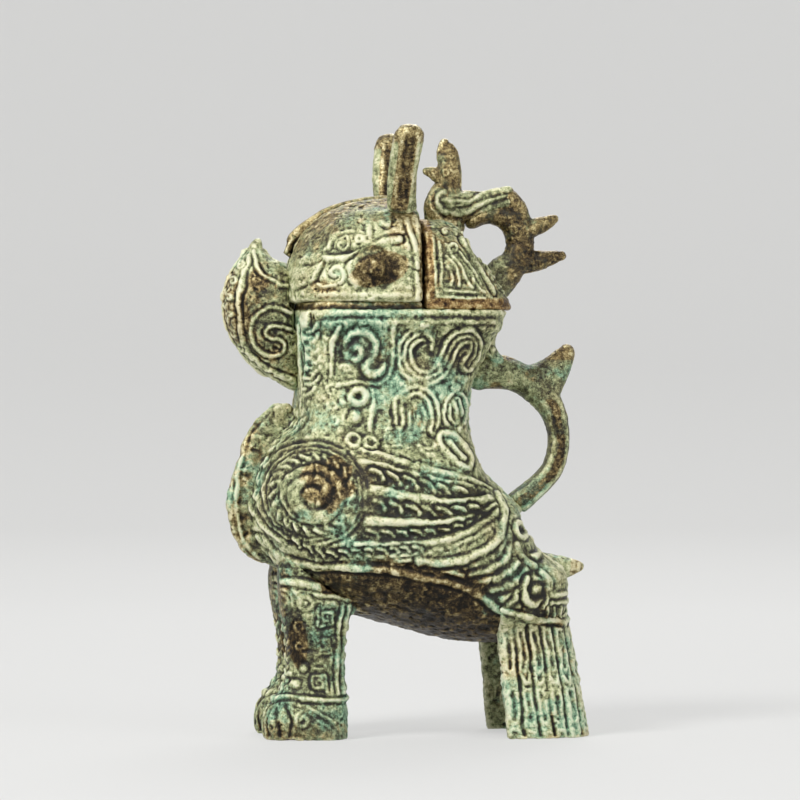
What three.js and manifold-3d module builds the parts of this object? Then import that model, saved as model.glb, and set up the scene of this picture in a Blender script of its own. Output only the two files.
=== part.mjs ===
// A small bronze wine vessel in the shape of a standing owl, with a lid behind the face.
// Millimetres, +Z up. The owl faces -Y, and +X is its left side. The origin is on the ground,
// in the middle of the box round the whole vessel.
//
// The vessel stands on two legs and a broad drooping tail. Belly and neck are one hollow casting.
// The front half of the head, the beak, the two horns, the legs, the tail and the handle are
// castings of their own, seated on it with short pegs. The rear half of the head is the lid: it
// drops into the mouth with a tongue, and carries a small bird and a dragon as its knob.

import * as THREE from 'three';
import { mergeVertices } from 'three/addons/utils/BufferGeometryUtils.js';
import Module from 'manifold-3d';

// Sizes of the belly and neck
const undersideZ = 25.8; // lowest point of the belly above the ground
const bellyDepth = 63; // from the underside up to the shoulders
const bellyLength = 86.6;
const bellyWidth = 64;
const bellyMidY = 0;
const neckRise = 28.5; // from the shoulders up to the rim
const neckRoot = 24; // how far the neck runs down into the belly
const neckLength = 56.5; // front to back
const neckWidth = 45;
const neckMidY = -2.75;
const rimHeight = 4.2;
const rimOverhang = 1.7; // how far the rim stands out at the back
const rimSide = 1.2; // how far it stands out at the sides
const rimSlope = 1.4; // height over which it grows out of the neck
const upstandHeight = 2.2; // the sunk band that the face half stands on
const upstandInset = 1.7;

// Walls and clearances
const wall = 3; // bronze thickness of belly, neck and face
const lidWall = 2.6;
const seatGap = 0.3; // left open in a seated joint
const lidClearance = 0.4; // round the tongue of the lid
const pegDepth = 1.7; // how far a peg goes into a wall

// Head and lid
const headHeight = 27; // of the dome over its base
const headOverhang = 1.3; // how far the head stands out past the neck on each side
const browOverhang = 2.2; // and past the front of the neck
const lidOverhang = 2.4; // and the lid past the back of the neck
const lidHeight = 25.4;
const partingGap = 1.1; // slot between the face and the lid
const faceBackY = 1.8; // the flat wall behind the face
const spigotDepth = 3.4; // how far face and lid reach down into the mouth
const plateHeight = 2.4; // thickness of the flange round the foot of each dome
const crestHeight = 2.7;
const crestWidth = 3.2;
const eyeRadius = 6.2;
const eyeBulge = 3;

// Things that stand out
const flangeHeight = 6.7; // the ridge down the middle of the breast
const flangeWidth = 4.4;
const beakReach = 19.5; // from the neck forwards
const beakHeight = 41.5;
const beakWidth = 19;
const hornHeight = 26.2;
const hornSpread = 8; // how far the horns lean out
const handleReach = 24.5; // from the back of the neck to the middle of the grip
const handleDrop = 41; // between the two roots of the handle
const handleWidth = 9.4;
const spikeReach = 11.4; // the hooked beak of the little owl over the tail
const legSpacing = 24.4; // between the middles of the legs
const footLength = 23.4;
const footWidth = 17.2;
const legRise = 51; // from the ground to inside the belly
const tailLength = 24.7; // front to back at the ground
const tailWidth = 44;
const tailWall = 4;
const tailRise = 38;
const knobHeight = 22.4; // from the top of the lid to the tip of the bird's crest
const knobLength = 27.6; // the dragon, front to back
const knobLap = 10; // how much of it stands over the lid

// Heights and places that follow from the sizes
const shoulderZ = undersideZ + bellyDepth;
const neckFootZ = shoulderZ - neckRoot;
const rimZ = shoulderZ + neckRise;
const faceBaseZ = rimZ + upstandHeight + seatGap;
const lidBaseZ = rimZ + seatGap;
const lidFrontY = faceBackY + partingGap;
const bellyFrontY = bellyMidY - bellyLength / 2;
const bellyBackY = bellyMidY + bellyLength / 2;
const neckBackY = neckMidY + neckLength / 2;
const neckFrontY = neckMidY - neckLength / 2;
const headWidth = neckWidth + 2 * headOverhang;
const faceFrontY = neckFrontY - browOverhang;
const faceLength = faceBackY - faceFrontY;
const lidBackY = neckBackY + lidOverhang;
const lidLength = lidBackY - lidFrontY;

const wasm = await Module();
wasm.setup();

// A closed geometry as a solid that can be cut and joined.
function solid(geometry) {
  geometry.deleteAttribute('normal');
  geometry.deleteAttribute('uv');
  const merged = mergeVertices(geometry, 1e-4);
  const mesh = new wasm.Mesh({
    numProp: 3,
    vertProperties: new Float32Array(merged.attributes.position.array),
    triVerts: new Uint32Array(merged.index.array),
  });
  return new wasm.Manifold(mesh);
}

// A solid as a geometry again.
function geometryOf(shape) {
  const mesh = shape.getMesh();
  const geometry = new THREE.BufferGeometry();
  geometry.setAttribute('position', new THREE.BufferAttribute(mesh.vertProperties, 3));
  geometry.setIndex(new THREE.BufferAttribute(mesh.triVerts, 1));
  const flat = geometry.toNonIndexed();
  flat.computeVertexNormals();
  return flat;
}

// The solid through a row of rings, each a list of points, closed at both ends by a fan.
function loft(rings) {
  const count = rings[0].length;
  const points = rings.flat();
  const first = points.push(middleOf(rings[0])) - 1;
  const last = points.push(middleOf(rings.at(-1))) - 1;
  const faces = [];
  for (let i = 0; i < count; i++) {
    const j = (i + 1) % count;
    for (let r = 0; r + 1 < rings.length; r++) {
      const a = r * count;
      const b = a + count;
      faces.push([a + i, a + j, b + j], [a + i, b + j, b + i]);
    }
    const end = (rings.length - 1) * count;
    faces.push([first, j, i], [last, end + i, end + j]);
  }
  if (signedVolume(points, faces) < 0) faces.forEach((face) => face.reverse());
  const geometry = new THREE.BufferGeometry().setFromPoints(points);
  geometry.setIndex(faces.flat());
  return solid(geometry);
}

function middleOf(ring) {
  return ring.reduce((sum, p) => sum.add(p), new THREE.Vector3()).divideScalar(ring.length);
}

function signedVolume(points, faces) {
  const cross = new THREE.Vector3();
  return faces.reduce(
    (sum, [a, b, c]) => sum + cross.crossVectors(points[b], points[c]).dot(points[a]),
    0,
  );
}

// A row of a table at place u, from a smooth curve through its rows. The first column is u.
function rowAt(table, u) {
  const last = table.length - 1;
  let i = 0;
  while (i < last - 1 && u > table[i + 1][0]) i++;
  const [before, a, b, after] = [i - 1, i, i + 1, i + 2].map(
    (k) => table[Math.min(Math.max(k, 0), last)],
  );
  const span = b[0] - a[0];
  const t = (u - a[0]) / span;
  return a.map((value, column) => {
    const slope = (low, high) => {
      const run = high[0] - low[0];
      return run ? ((high[column] - low[column]) / run) * span : 0;
    };
    const rise = b[column] - value;
    const limit = (s) => (s * rise <= 0 ? 0 : Math.sign(s) * Math.min(Math.abs(s), 3 * Math.abs(rise)));
    const start = limit(slope(before, b));
    const end = limit(slope(a, after));
    return (
      value * (1 + 2 * t) * (1 - t) ** 2 +
      start * t * (1 - t) ** 2 +
      b[column] * t * t * (3 - 2 * t) -
      end * t * t * (1 - t)
    );
  });
}

// The rows of a table with one more row between each two.
function doubled(table) {
  const between = table.slice(1).map((row, i) => rowAt(table, (row[0] + table[i][0]) / 2));
  return table.flatMap((row, i) => (i < between.length ? [row, between[i]] : [row]));
}

// x ** power that keeps the sign of x.
const bend = (x, power) => Math.sign(x) * Math.abs(x) ** power;

// A rounded ring: round where power is 2 and nearer a box where it is larger. turn is a full turn
// for a closed ring, or half a turn for an arch with a straight foot.
function ring(count, turn, power, place) {
  const steps = turn < 2 * Math.PI ? count - 1 : count;
  return Array.from({ length: count }, (_, i) => {
    const angle = (i / steps) * turn;
    return place(bend(Math.cos(angle), 2 / power), bend(Math.sin(angle), 2 / power));
  });
}

const fullTurn = 2 * Math.PI;
const halfTurn = Math.PI;

function ringAcross(y, low, high, halfWidth, power, count = 32) {
  const mid = (low + high) / 2;
  const half = Math.max((high - low) / 2, 0.2);
  const wide = Math.max(halfWidth, 0.2);
  return ring(count, fullTurn, power, (c, s) => new THREE.Vector3(wide * c, y, mid + half * s));
}

function ringLevel(z, front, back, halfWidth, power, midX = 0, count = 32) {
  const mid = (front + back) / 2;
  const half = (back - front) / 2;
  return ring(
    count,
    fullTurn,
    power,
    (c, s) => new THREE.Vector3(midX + halfWidth * c, mid + half * s, z),
  );
}

// An arch that stands on a level foot, as the head and lid have across their width.
function archAcross(y, foot, top, halfWidth, power, count = 19) {
  return ring(
    count,
    halfTurn,
    power,
    (c, s) => new THREE.Vector3(halfWidth * c, y, foot + (top - foot) * s),
  );
}

// A box between two corners.
function block(low, high) {
  const [a, b] = [new THREE.Vector3(...low), new THREE.Vector3(...high)];
  const size = b.clone().sub(a);
  const geometry = new THREE.BoxGeometry(size.x, size.y, size.z);
  const mid = a.add(b).divideScalar(2);
  return solid(geometry.translate(mid.x, mid.y, mid.z));
}

// A limb of oval section along a smooth line through its joints. Each joint is
// [x, y, z, thickness, width]: half its thickness in the upright plane, and half its width across.
// Both ends are rounded.
function limb(joints, sides = 10, stepsPerJoint = 2) {
  const curve = new THREE.CatmullRomCurve3(joints.map(([x, y, z]) => new THREE.Vector3(x, y, z)));
  const sizes = joints.map(([, , , thick, wide], i) => [i, thick, wide]);
  const steps = (joints.length - 1) * stepsPerJoint;
  const rings = [];
  const addRing = (t, push, shrink) => {
    const u = t * (joints.length - 1);
    const [, thick, wide] = rowAt(sizes, u);
    const along = curve.getTangent(t);
    const at = curve.getPoint(t).addScaledVector(along, push * Math.min(thick, wide));
    const aside = new THREE.Vector3(1, 0, 0);
    aside.addScaledVector(along, -aside.dot(along)).normalize();
    const upright = new THREE.Vector3().crossVectors(along, aside);
    rings.push(
      ring(sides, fullTurn, 2, (c, s) =>
        at
          .clone()
          .addScaledVector(aside, c * wide * shrink)
          .addScaledVector(upright, s * thick * shrink),
      ),
    );
  };
  const capAngles = [70, 38].map(THREE.MathUtils.degToRad);
  capAngles.forEach((angle) => addRing(0, -Math.sin(angle), Math.cos(angle)));
  for (let i = 0; i <= steps; i++) addRing(i / steps, 0, 1);
  capAngles.reverse().forEach((angle) => addRing(1, Math.sin(angle), Math.cos(angle)));
  return loft(rings);
}

// An upright plate in the middle plane, from a closed outline of [y, z] points.
function plate(outline, thickness) {
  const flat = new THREE.Shape(outline.map(([y, z]) => new THREE.Vector2(y, z)));
  const geometry = new THREE.ExtrudeGeometry(flat, { depth: thickness, bevelEnabled: false });
  geometry.translate(0, 0, -thickness / 2);
  const [toX, toY, toZ] = [[1, 0, 0], [0, 1, 0], [0, 0, 1]].map((axis) => new THREE.Vector3(...axis));
  return solid(geometry.applyMatrix4(new THREE.Matrix4().makeBasis(toY, toZ, toX)));
}

const joined = (shapes) => shapes.reduce((whole, shape) => whole.add(shape));

// A round peg from a point, along a direction, used twice: as it is on the piece that carries it,
// and grown by the seat gap where it is cut into the wall that takes it.
function peg([x, y, z], [dx, dy, dz], radius, length, grow = 0) {
  const geometry = new THREE.CylinderGeometry(radius + grow, radius + grow, length + 2 * grow, 16);
  geometry.translate(0, length / 2, 0);
  const turn = new THREE.Quaternion().setFromUnitVectors(
    new THREE.Vector3(0, 1, 0),
    new THREE.Vector3(dx, dy, dz).normalize(),
  );
  geometry.applyQuaternion(turn).translate(x, y, z);
  return solid(geometry);
}

// The largest body of a shape that a cut has left in several.
function largest(shape) {
  return shape.decompose().reduce((best, part) => (part.volume() > best.volume() ? part : best));
}

// Belly: [place from breast to rump, underside, back, half width, power of the section]. Heights
// are shares of the belly's depth over its lowest point.
const bellyTable = [
  [0, 0.563, 0.627, 0.1, 2],
  [0.0115, 0.508, 0.675, 0.3, 2],
  [0.038, 0.429, 0.794, 0.5, 2.1],
  [0.084, 0.341, 0.889, 0.7, 2.2],
  [0.154, 0.235, 0.952, 0.86, 2.3],
  [0.269, 0.154, 0.995, 0.98, 2.4],
  [0.385, 0.103, 1, 1, 2.4],
  [0.5, 0.057, 0.968, 1, 2.4],
  [0.615, 0.019, 0.889, 0.97, 2.5],
  [0.731, 0, 0.762, 0.91, 2.7],
  [0.823, 0.008, 0.644, 0.83, 3],
  [0.893, 0.032, 0.549, 0.77, 3.2],
  [0.939, 0.057, 0.489, 0.71, 3.2],
  [0.973, 0.083, 0.422, 0.64, 3],
  [0.995, 0.122, 0.337, 0.54, 2.7],
  [1, 0.146, 0.305, 0.46, 2.5],
];

// The belly's outside, or a skin that lies outside it by grow, or inside it where that is negative.
function belly(grow = 0, count = 32) {
  const stretch = 1 + (2 * grow) / bellyLength;
  const rows = grow < 0 ? bellyTable : doubled(bellyTable);
  const rings = rows.map(([place, low, high, wide, power]) =>
    ringAcross(
      bellyMidY + (place - 0.5) * bellyLength * stretch,
      undersideZ + low * bellyDepth - grow,
      undersideZ + high * bellyDepth + grow,
      (wide * bellyWidth) / 2 + grow,
      power,
      count,
    ),
  );
  return loft(rings);
}

// Neck: [height from its foot to the rim, front, back, half width], as shares of half its sizes.
const neckTable = [
  [0, -1.17, 0.92, 1.24],
  [0.126, -1.14, 0.84, 1.2],
  [0.25, -1.07, 0.745, 1.11],
  [0.38, -1, 0.68, 1.02],
  [0.577, -0.965, 0.695, 0.956],
  [0.724, -0.975, 0.8, 0.956],
  [0.857, -0.99, 0.915, 0.975],
  [1, -1, 1, 1],
];
const neckPower = 4.2;

function neckRing(z, grow, place) {
  const [, front, back, wide] = rowAt(neckTable, place);
  return ringLevel(
    z,
    neckMidY + (front * neckLength) / 2 - grow,
    neckMidY + (back * neckLength) / 2 + grow,
    (wide * neckWidth) / 2 + grow,
    neckPower,
  );
}

function neck(grow = 0) {
  const height = rimZ - neckFootZ;
  const rows = grow < 0 ? neckTable : doubled(neckTable);
  return loft(rows.map(([place]) => neckRing(neckFootZ + place * height, grow, place)));
}

// A straight-walled plug with the outline of the mouth, larger than it by grow.
function mouth(lowZ, highZ, grow) {
  return loft([neckRing(lowZ, grow, 1), neckRing(highZ, grow, 1)]);
}

// The rim that stands out round the top of the neck, most of all at the back.
function rim() {
  const outline = (z, share) =>
    ringLevel(
      z,
      neckFrontY - 0.2 * share,
      neckBackY + rimOverhang * share,
      neckWidth / 2 + rimSide * share,
      neckPower,
    );
  return loft([
    outline(rimZ - rimHeight - rimSlope, 0),
    outline(rimZ - rimHeight, 0.75),
    outline(rimZ - rimHeight + 0.8, 1),
    outline(rimZ - 0.5, 1),
    outline(rimZ, 0.85),
  ]);
}

// Head: [place from the forehead to the parting wall, height, half width, power]. Shares of the size.
const faceTable = [
  [0, 0.3, 0.3, 2.2],
  [0.03, 0.45, 0.46, 2.2],
  [0.1, 0.61, 0.66, 2.4],
  [0.22, 0.755, 0.8, 2.7],
  [0.38, 0.885, 0.915, 3],
  [0.6, 0.975, 0.98, 3.2],
  [0.83, 1, 1, 3.3],
  [1, 1, 1, 3.3],
];
const lidTable = [
  [0, 1, 0.975, 3.3],
  [0.2, 0.99, 0.975, 3.3],
  [0.38, 0.93, 0.965, 3.2],
  [0.52, 0.79, 0.94, 3],
  [0.66, 0.605, 0.9, 2.8],
  [0.78, 0.44, 0.84, 2.6],
  [0.88, 0.3, 0.76, 2.5],
  [0.96, 0.17, 0.66, 2.4],
  [1, 0.1, 0.56, 2.3],
];

// A dome over a level foot, from its table. grow moves its skin out, and foot drops its foot.
function dome(table, frontY, length, height, footZ, grow, foot = 0) {
  const rows = grow < 0 ? table : doubled(table);
  const rings = rows.map(([place, tall, wide, power]) =>
    archAcross(
      frontY + length / 2 + (place - 0.5) * (length + 2 * grow),
      footZ - foot,
      footZ + Math.max(tall * height + grow, 0.4),
      Math.max((wide * headWidth) / 2 + grow, 0.4),
      power,
    ),
  );
  return loft(rings);
}

const face = (grow, foot) => dome(faceTable, faceFrontY, faceLength, headHeight, faceBaseZ, grow, foot);
const lidShell = (grow, foot) => dome(lidTable, lidFrontY, lidLength, lidHeight, lidBaseZ, grow, foot);

const farAway = 200;

// A hollow dome on a flange, with a tongue that goes down into the mouth. The tongue follows the
// mouth, less the clearance, and stops at a flat wall at each end.
function domeOnTongue(shell, baseZ, shellWall, clearance, tongueWall, frontY, backY) {
  const tongueLow = rimZ - spigotDepth;
  const between = block([-farAway, frontY, tongueLow], [farAway, backY, baseZ + 1]);
  const within = block(
    [-farAway, frontY + tongueWall, tongueLow - 1],
    [farAway, backY - tongueWall, baseZ + plateHeight + 1],
  );
  const tongue = mouth(tongueLow, baseZ + 1, -wall - clearance).intersect(between);
  const hole = mouth(tongueLow - 1, baseZ + plateHeight + 1, -wall - clearance - tongueWall).intersect(within);
  const hollow = shell(-shellWall, 0).intersect(
    block([-farAway, -farAway, baseZ + plateHeight], [farAway, farAway, farAway]),
  );
  return shell(0, 0).add(tongue).subtract(hollow).subtract(hole);
}

// Where each seated piece has its peg: the point in the joint, the way it runs, and its radius.
const crownZ = faceBaseZ + headHeight;
const hornRootX = headWidth * 0.3;
const hornY = faceBackY - 3.9;
const handleTopZ = rimZ - 16.3;
const neckBackAtHandleY = neckMidY + (0.84 * neckLength) / 2;
const legX = legSpacing / 2;
const legMidY = bellyFrontY + 14.2;
const lidTopZ = lidBaseZ + lidHeight;
const birdY = lidFrontY + 9.6;
const pegRadius = 2;

const pegs = {
  leftHorn: [[hornRootX, hornY, crownZ - pegDepth], [0.1, 0, 1], pegRadius - 0.4, 4],
  rightHorn: [[-hornRootX, hornY, crownZ - pegDepth], [-0.1, 0, 1], pegRadius - 0.4, 4],
  handleTop: [[0, neckBackAtHandleY - pegDepth, handleTopZ], [0, 1, 0], pegRadius, 5],
  bird: [[0, birdY, lidTopZ - pegDepth + 0.4], [0, 0, 1], pegRadius - 0.4, 4],
  beak: [[0, neckFrontY + pegDepth, rimZ - 12], [0, -1, 0], pegRadius + 0.4, 5],
};
const pegFor = (name) => peg(...pegs[name]);
const socketFor = (name) => peg(...pegs[name], seatGap);

// The ridge down the breast: [how far it stands ahead of the belly, height up the belly], as shares
// of its own height and of the belly's depth, from the shoulder down, and then two points inside.
const flangeTable = [
  [-1.7, 1.052],
  [-1.07, 1.04],
  [-0.54, 0.973],
  [0.16, 0.854],
  [0.58, 0.775],
  [0.955, 0.665],
  [1, 0.598],
  [0.79, 0.489],
  [0.37, 0.4],
  [-0.12, 0.365],
  [-0.78, 0.343],
  [-1.12, 0.33],
  [-1.7, 0.5],
  [-2.1, 0.86],
];

function breastRidge() {
  const outline = flangeTable.map(([ahead, up]) => [
    bellyFrontY - ahead * flangeHeight,
    undersideZ + up * bellyDepth,
  ]);
  return plate(outline, flangeWidth);
}

// The hooked beak of the little owl over the tail.
function rumpSpike() {
  const baseY = bellyBackY - 4.4;
  const z = undersideZ + 0.345 * bellyDepth;
  return limb([
    [0, baseY - 3, z + 0.6, 5.4, 6],
    [0, baseY + spikeReach * 0.36, z - 1.8, 3.6, 3.6],
    [0, baseY + spikeReach * 0.66, z - 1, 1.9, 2],
    [0, baseY + spikeReach * 0.82, z - 0.7, 1.1, 1.2],
  ]);
}

// Belly, neck, rim and breast ridge as one hollow casting, open at the mouth.
function vesselBody() {
  const upstand = mouth(rimZ - 1, rimZ + upstandHeight, -upstandInset + rimSide).intersect(
    block([-farAway, -farAway, rimZ - 1], [farAway, faceBackY, farAway]),
  );
  const outside = joined([belly(), neck(), rim(), breastRidge(), upstand, rumpSpike()]);
  const bore = mouth(rimZ - spigotDepth - 0.8, rimZ + upstandHeight + 1, -wall);
  const inside = joined([belly(-wall, 24), neck(-wall), bore]);
  const sockets = ['handleTop', 'beak'].map(socketFor);
  return sockets.reduce((shape, socket) => shape.subtract(socket), outside.subtract(inside));
}

// The space that the body fills, with the seat gap round it, for cutting what is seated on it.
const bodyWithGap = joined([
  belly(seatGap),
  neck(seatGap),
  mouth(rimZ - rimHeight - rimSlope - seatGap, rimZ + upstandHeight, rimSide + seatGap),
]);
const faceWithGap = face(seatGap, upstandHeight);

// The front half of the head: brow, two round eyes and a low crest from forehead to crown.
function headFront() {
  const shell = (grow, foot) => {
    const skin = face(grow, foot);
    if (grow < 0) return skin;
    const crest = face(crestHeight, foot).intersect(
      block([-crestWidth / 2, faceFrontY - crestHeight, faceBaseZ + 13], [crestWidth / 2, faceBackY, farAway]),
    );
    return joined([skin, crest, eye(1), eye(-1)]).intersect(
      block([-farAway, -farAway, faceBaseZ - foot], [farAway, faceBackY, farAway]),
    );
  };
  const made = domeOnTongue(shell, faceBaseZ, wall, lidClearance, wall, -farAway / 2, faceBackY);
  return made.subtract(socketFor('leftHorn')).subtract(socketFor('rightHorn'));
}

function eye(side) {
  const geometry = new THREE.SphereGeometry(eyeRadius, 16, 10);
  geometry.scale(eyeBulge / eyeRadius, 1, 0.92);
  geometry.translate(side * (headWidth / 2 - 0.7), faceBackY - 12.9, faceBaseZ + 9);
  return solid(geometry);
}

// The great hooked beak: [height, front, back, half width, power]. Heights are shares of its height
// from its lower tip, depths are shares of its reach from the neck.
const beakTable = [
  [0, 0.04, -0.1, 0.26, 2],
  [0.05, 0.26, -0.1, 0.46, 2.1],
  [0.15, 0.56, -0.1, 0.68, 2.3],
  [0.28, 0.8, -0.12, 0.86, 2.6],
  [0.42, 0.95, -0.12, 0.96, 2.8],
  [0.56, 1, -0.12, 1, 2.8],
  [0.68, 0.97, -0.1, 0.96, 2.7],
  [0.78, 0.89, 0.0, 0.82, 2.5],
  [0.86, 0.78, 0.3, 0.58, 2.2],
  [0.94, 0.66, 0.44, 0.34, 2],
  [1, 0.55, 0.47, 0.14, 2],
];

function beak() {
  const lowZ = rimZ + 20 - beakHeight;
  const rings = doubled(beakTable).map(([place, front, back, wide, power]) =>
    ringLevel(
      lowZ + place * beakHeight,
      neckFrontY - front * beakReach,
      neckFrontY - back * beakReach,
      (wide * beakWidth) / 2,
      power,
      0,
      24,
    ),
  );
  const cut = loft(rings).subtract(bodyWithGap).subtract(faceWithGap);
  return largest(cut).add(pegFor('beak'));
}

// One of the two tall horns, on the side that the sign says.
function horn(side, name) {
  const rootZ = crownZ - 6;
  const tipX = hornRootX + hornSpread;
  const joint = (share, out, back, thick, wide) => [
    side * (hornRootX + (tipX - hornRootX) * out),
    hornY + back,
    rootZ + share * hornHeight,
    thick,
    wide,
  ];
  const shape = limb([
    joint(0, -0.05, 0.2, 3.2, 3),
    joint(0.26, 0.14, 0, 3, 2.8),
    joint(0.55, 0.48, -0.4, 3.2, 2.8),
    joint(0.82, 0.82, 0, 3.6, 3),
    joint(0.93, 1, 0.2, 3.5, 2.8),
  ]);
  return largest(shape.subtract(faceWithGap)).add(pegFor(name));
}

// A leg with its foot: [height above the ground, toe, heel, half width, power] as shares.
const legTable = [
  [0, -0.483, 0.5, 0.97, 3.2],
  [0.06, -0.504, 0.5, 1, 2.9],
  [0.137, -0.49, 0.5, 0.98, 2.7],
  [0.2, -0.425, 0.49, 0.9, 2.6],
  [0.265, -0.3, 0.48, 0.8, 2.6],
  [0.333, -0.225, 0.46, 0.745, 2.7],
  [0.49, -0.22, 0.46, 0.745, 3],
  [0.627, -0.26, 0.5, 0.82, 3],
  [0.745, -0.31, 0.54, 0.93, 2.9],
  [0.863, -0.33, 0.6, 1.04, 2.8],
  [1, -0.27, 0.65, 1.08, 2.8],
];

function leg(side) {
  const rings = doubled(legTable).map(([place, toe, heel, wide, power]) =>
    ringLevel(
      place * legRise,
      legMidY + toe * footLength,
      legMidY + heel * footLength,
      (wide * footWidth) / 2,
      power,
      side * legX,
      20,
    ),
  );
  return largest(loft(rings).subtract(bodyWithGap));
}

// The tail: a trough of feathers, open to the front, from the rump to the ground.
// [height, front edge, back, half width] as shares of its rise, length and half width.
const tailTable = [
  [0, 0, 1, 1],
  [0.36, -0.04, 0.9, 0.98],
  [0.74, -0.1, 0.79, 0.955],
  [1, -0.13, 0.74, 0.93],
];

function tailSkin(inset, drop) {
  const frontY = bellyBackY - 17.5;
  const rings = tailTable.map(([place, front, back, wide]) =>
    ring(
      25,
      halfTurn,
      3.4,
      (c, s) =>
        new THREE.Vector3(
          c * ((wide * tailWidth) / 2 - inset),
          frontY + front * tailLength - 2 * inset + s * ((back - front) * tailLength + inset),
          place * tailRise + drop,
        ),
    ),
  );
  return loft(rings);
}

function tail() {
  const trough = tailSkin(0, 0).subtract(tailSkin(tailWall, -1).add(tailSkin(tailWall, 1)));
  return largest(trough.subtract(bodyWithGap));
}

// The strap handle behind the neck, with a beast's ear standing off its shoulder.
function handle() {
  const half = handleWidth / 2;
  const at = (out, down, thick, wide = 1) => [
    0,
    neckBackAtHandleY + out * handleReach,
    handleTopZ - down * handleDrop,
    thick,
    wide * half,
  ];
  const strap = limb([
    at(-0.02, 0.01, 5.2),
    at(0.265, 0.005, 4.6),
    at(0.486, 0.06, 4.3),
    at(0.686, 0.146, 4.3),
    at(0.82, 0.254, 3.7),
    at(0.902, 0.42, 3.1),
    at(0.882, 0.585, 3),
    at(0.8, 0.695, 3),
    at(0.612, 0.81, 3.1),
    at(0.44, 0.893, 3.3),
    at(0.278, 0.959, 3.5),
  ]);
  const ear = limb([
    at(0.788, 0.12, 4, 0.8),
    at(0.935, -0.017, 2.6, 0.62),
    at(1.024, -0.124, 1.6, 0.46),
  ]);
  return largest(strap.add(ear).subtract(bodyWithGap)).add(pegFor('handleTop'));
}

// The lid: the rear half of the head on a tongue that fits the mouth.
function lid() {
  const made = domeOnTongue(
    lidShell,
    lidBaseZ,
    lidWall,
    lidClearance,
    lidWall - 0.6,
    lidFrontY + 0.5,
    farAway / 2,
  );
  return made.subtract(socketFor('bird'));
}

const lidWithGap = lidShell(seatGap, 0);

// The small bird that stands at the front of the lid, larger all round by grow.
function bird(grow) {
  const at = (back, up, thick, wide) => [
    0,
    birdY + back,
    lidTopZ + up * knobHeight,
    thick + grow,
    wide + grow,
  ];
  const body = limb([
    at(-2.9, 0.2, 2.6, 2.8),
    at(-0.3, 0.19, 4.2, 4.3),
    at(4.1, 0.18, 4, 4.3),
    at(9.6, 0.2, 3.2, 3.4),
    at(13.8, 0.27, 2.7, 2.8),
    at(16.2, 0.33, 1.8, 2.4),
  ]);
  const head = limb([
    at(-0.5, 0.22, 3.6, 3),
    at(-0.4, 0.4, 3.7, 2.6),
    at(-0.3, 0.58, 3.6, 2.7),
    at(0, 0.72, 2.9, 1.8),
    at(-0.2, 0.84, 2.3, 1.3),
    at(-0.3, 0.9, 1.8, 1.1),
  ]);
  const bill = limb([
    at(-2.5, 0.575, 1.5, 1.4),
    at(-6, 0.6, 1.1, 1),
    at(-6.9, 0.605, 0.9, 0.8),
  ]);
  const feet = limb([at(0, 0.12, 3.8, 3), at(0, -0.1, 4.4, 3.4)]);
  return joined([body, head, bill, feet]);
}

const lidBird = () => largest(bird(0).subtract(lidWithGap)).add(pegFor('bird'));

// The dragon behind the bird: an arch over a round opening, with two prongs behind it.
function lidDragon() {
  const frontY = lidBackY - knobLap;
  const at = (along, up, thick, wide = 3.1) => [
    0,
    frontY + along * knobLength,
    lidTopZ + up,
    thick,
    wide,
  ];
  const arch = limb([
    at(0.03, -0.6, 2.2),
    at(0.2, 1.5, 2.8),
    at(0.42, 0, 3.8),
    at(0.525, -6.7, 4),
    at(0.42, -13.9, 3.8),
    at(0.32, -19.4, 2.8),
  ]);
  const upperProng = limb([
    at(0.52, -3.6, 3, 2.6),
    at(0.715, -1.6, 2.3, 2.1),
    at(0.82, -0.4, 1.8, 1.7),
    at(0.87, 0.3, 1.2, 1.2),
  ]);
  const lowerProng = limb([
    at(0.52, -11.9, 3.2, 2.6),
    at(0.715, -11.4, 2.8, 2.2),
    at(0.84, -10.6, 2.1, 1.8),
    at(0.945, -10, 1.3, 1.2),
  ]);
  const cut = joined([arch, upperProng, lowerProng]).subtract(lidWithGap).subtract(bird(seatGap));
  return largest(cut);
}

// Bronze under a green and cream patina; the worn pieces show more brown metal.
const patina = { green: 0x7d8f78, pale: 0x9aa488, dark: 0x4f4a38, brown: 0x6a5338 };
const bronze = (color) => new THREE.MeshStandardMaterial({ color, roughness: 0.72, metalness: 0.45 });

const vessel = new THREE.Group();
function add(name, shape, color) {
  const mesh = new THREE.Mesh(geometryOf(shape), bronze(color));
  mesh.name = name;
  vessel.add(mesh);
}

add('vessel_body', vesselBody(), patina.pale);
add('head_front', headFront(), patina.green);
add('beak', beak(), patina.dark);
add('horn_left', horn(1, 'leftHorn'), patina.brown);
add('horn_right', horn(-1, 'rightHorn'), patina.brown);
add('leg_left', leg(1), patina.dark);
add('leg_right', leg(-1), patina.dark);
add('tail', tail(), patina.green);
add('handle', handle(), patina.green);
add('lid', lid(), patina.brown);
add('lid_bird', lidBird(), patina.brown);
add('lid_dragon', lidDragon(), patina.brown);

export default vessel;
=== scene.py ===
# Shade under the belly, in creases, inside the hollows and along seams is painted into the colour too.
# A bronze wine vessel in the shape of a standing owl, cast with spirals and feathers in relief.
#
# Each CAD node is rebuilt as an even skin, its relief is raised and cut in the mesh, and a
# procedural patina lies over it: pale on the high lines, green on the flats, dark in the grooves.
# Relief is worked out in millimetres. Outlines of the ornament are given as seen from the side,
# as places back from the middle of the vessel and up from the ground.

import functools
import math

import bmesh
import bpy
import numpy as np
from mathutils import Matrix, Vector


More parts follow.
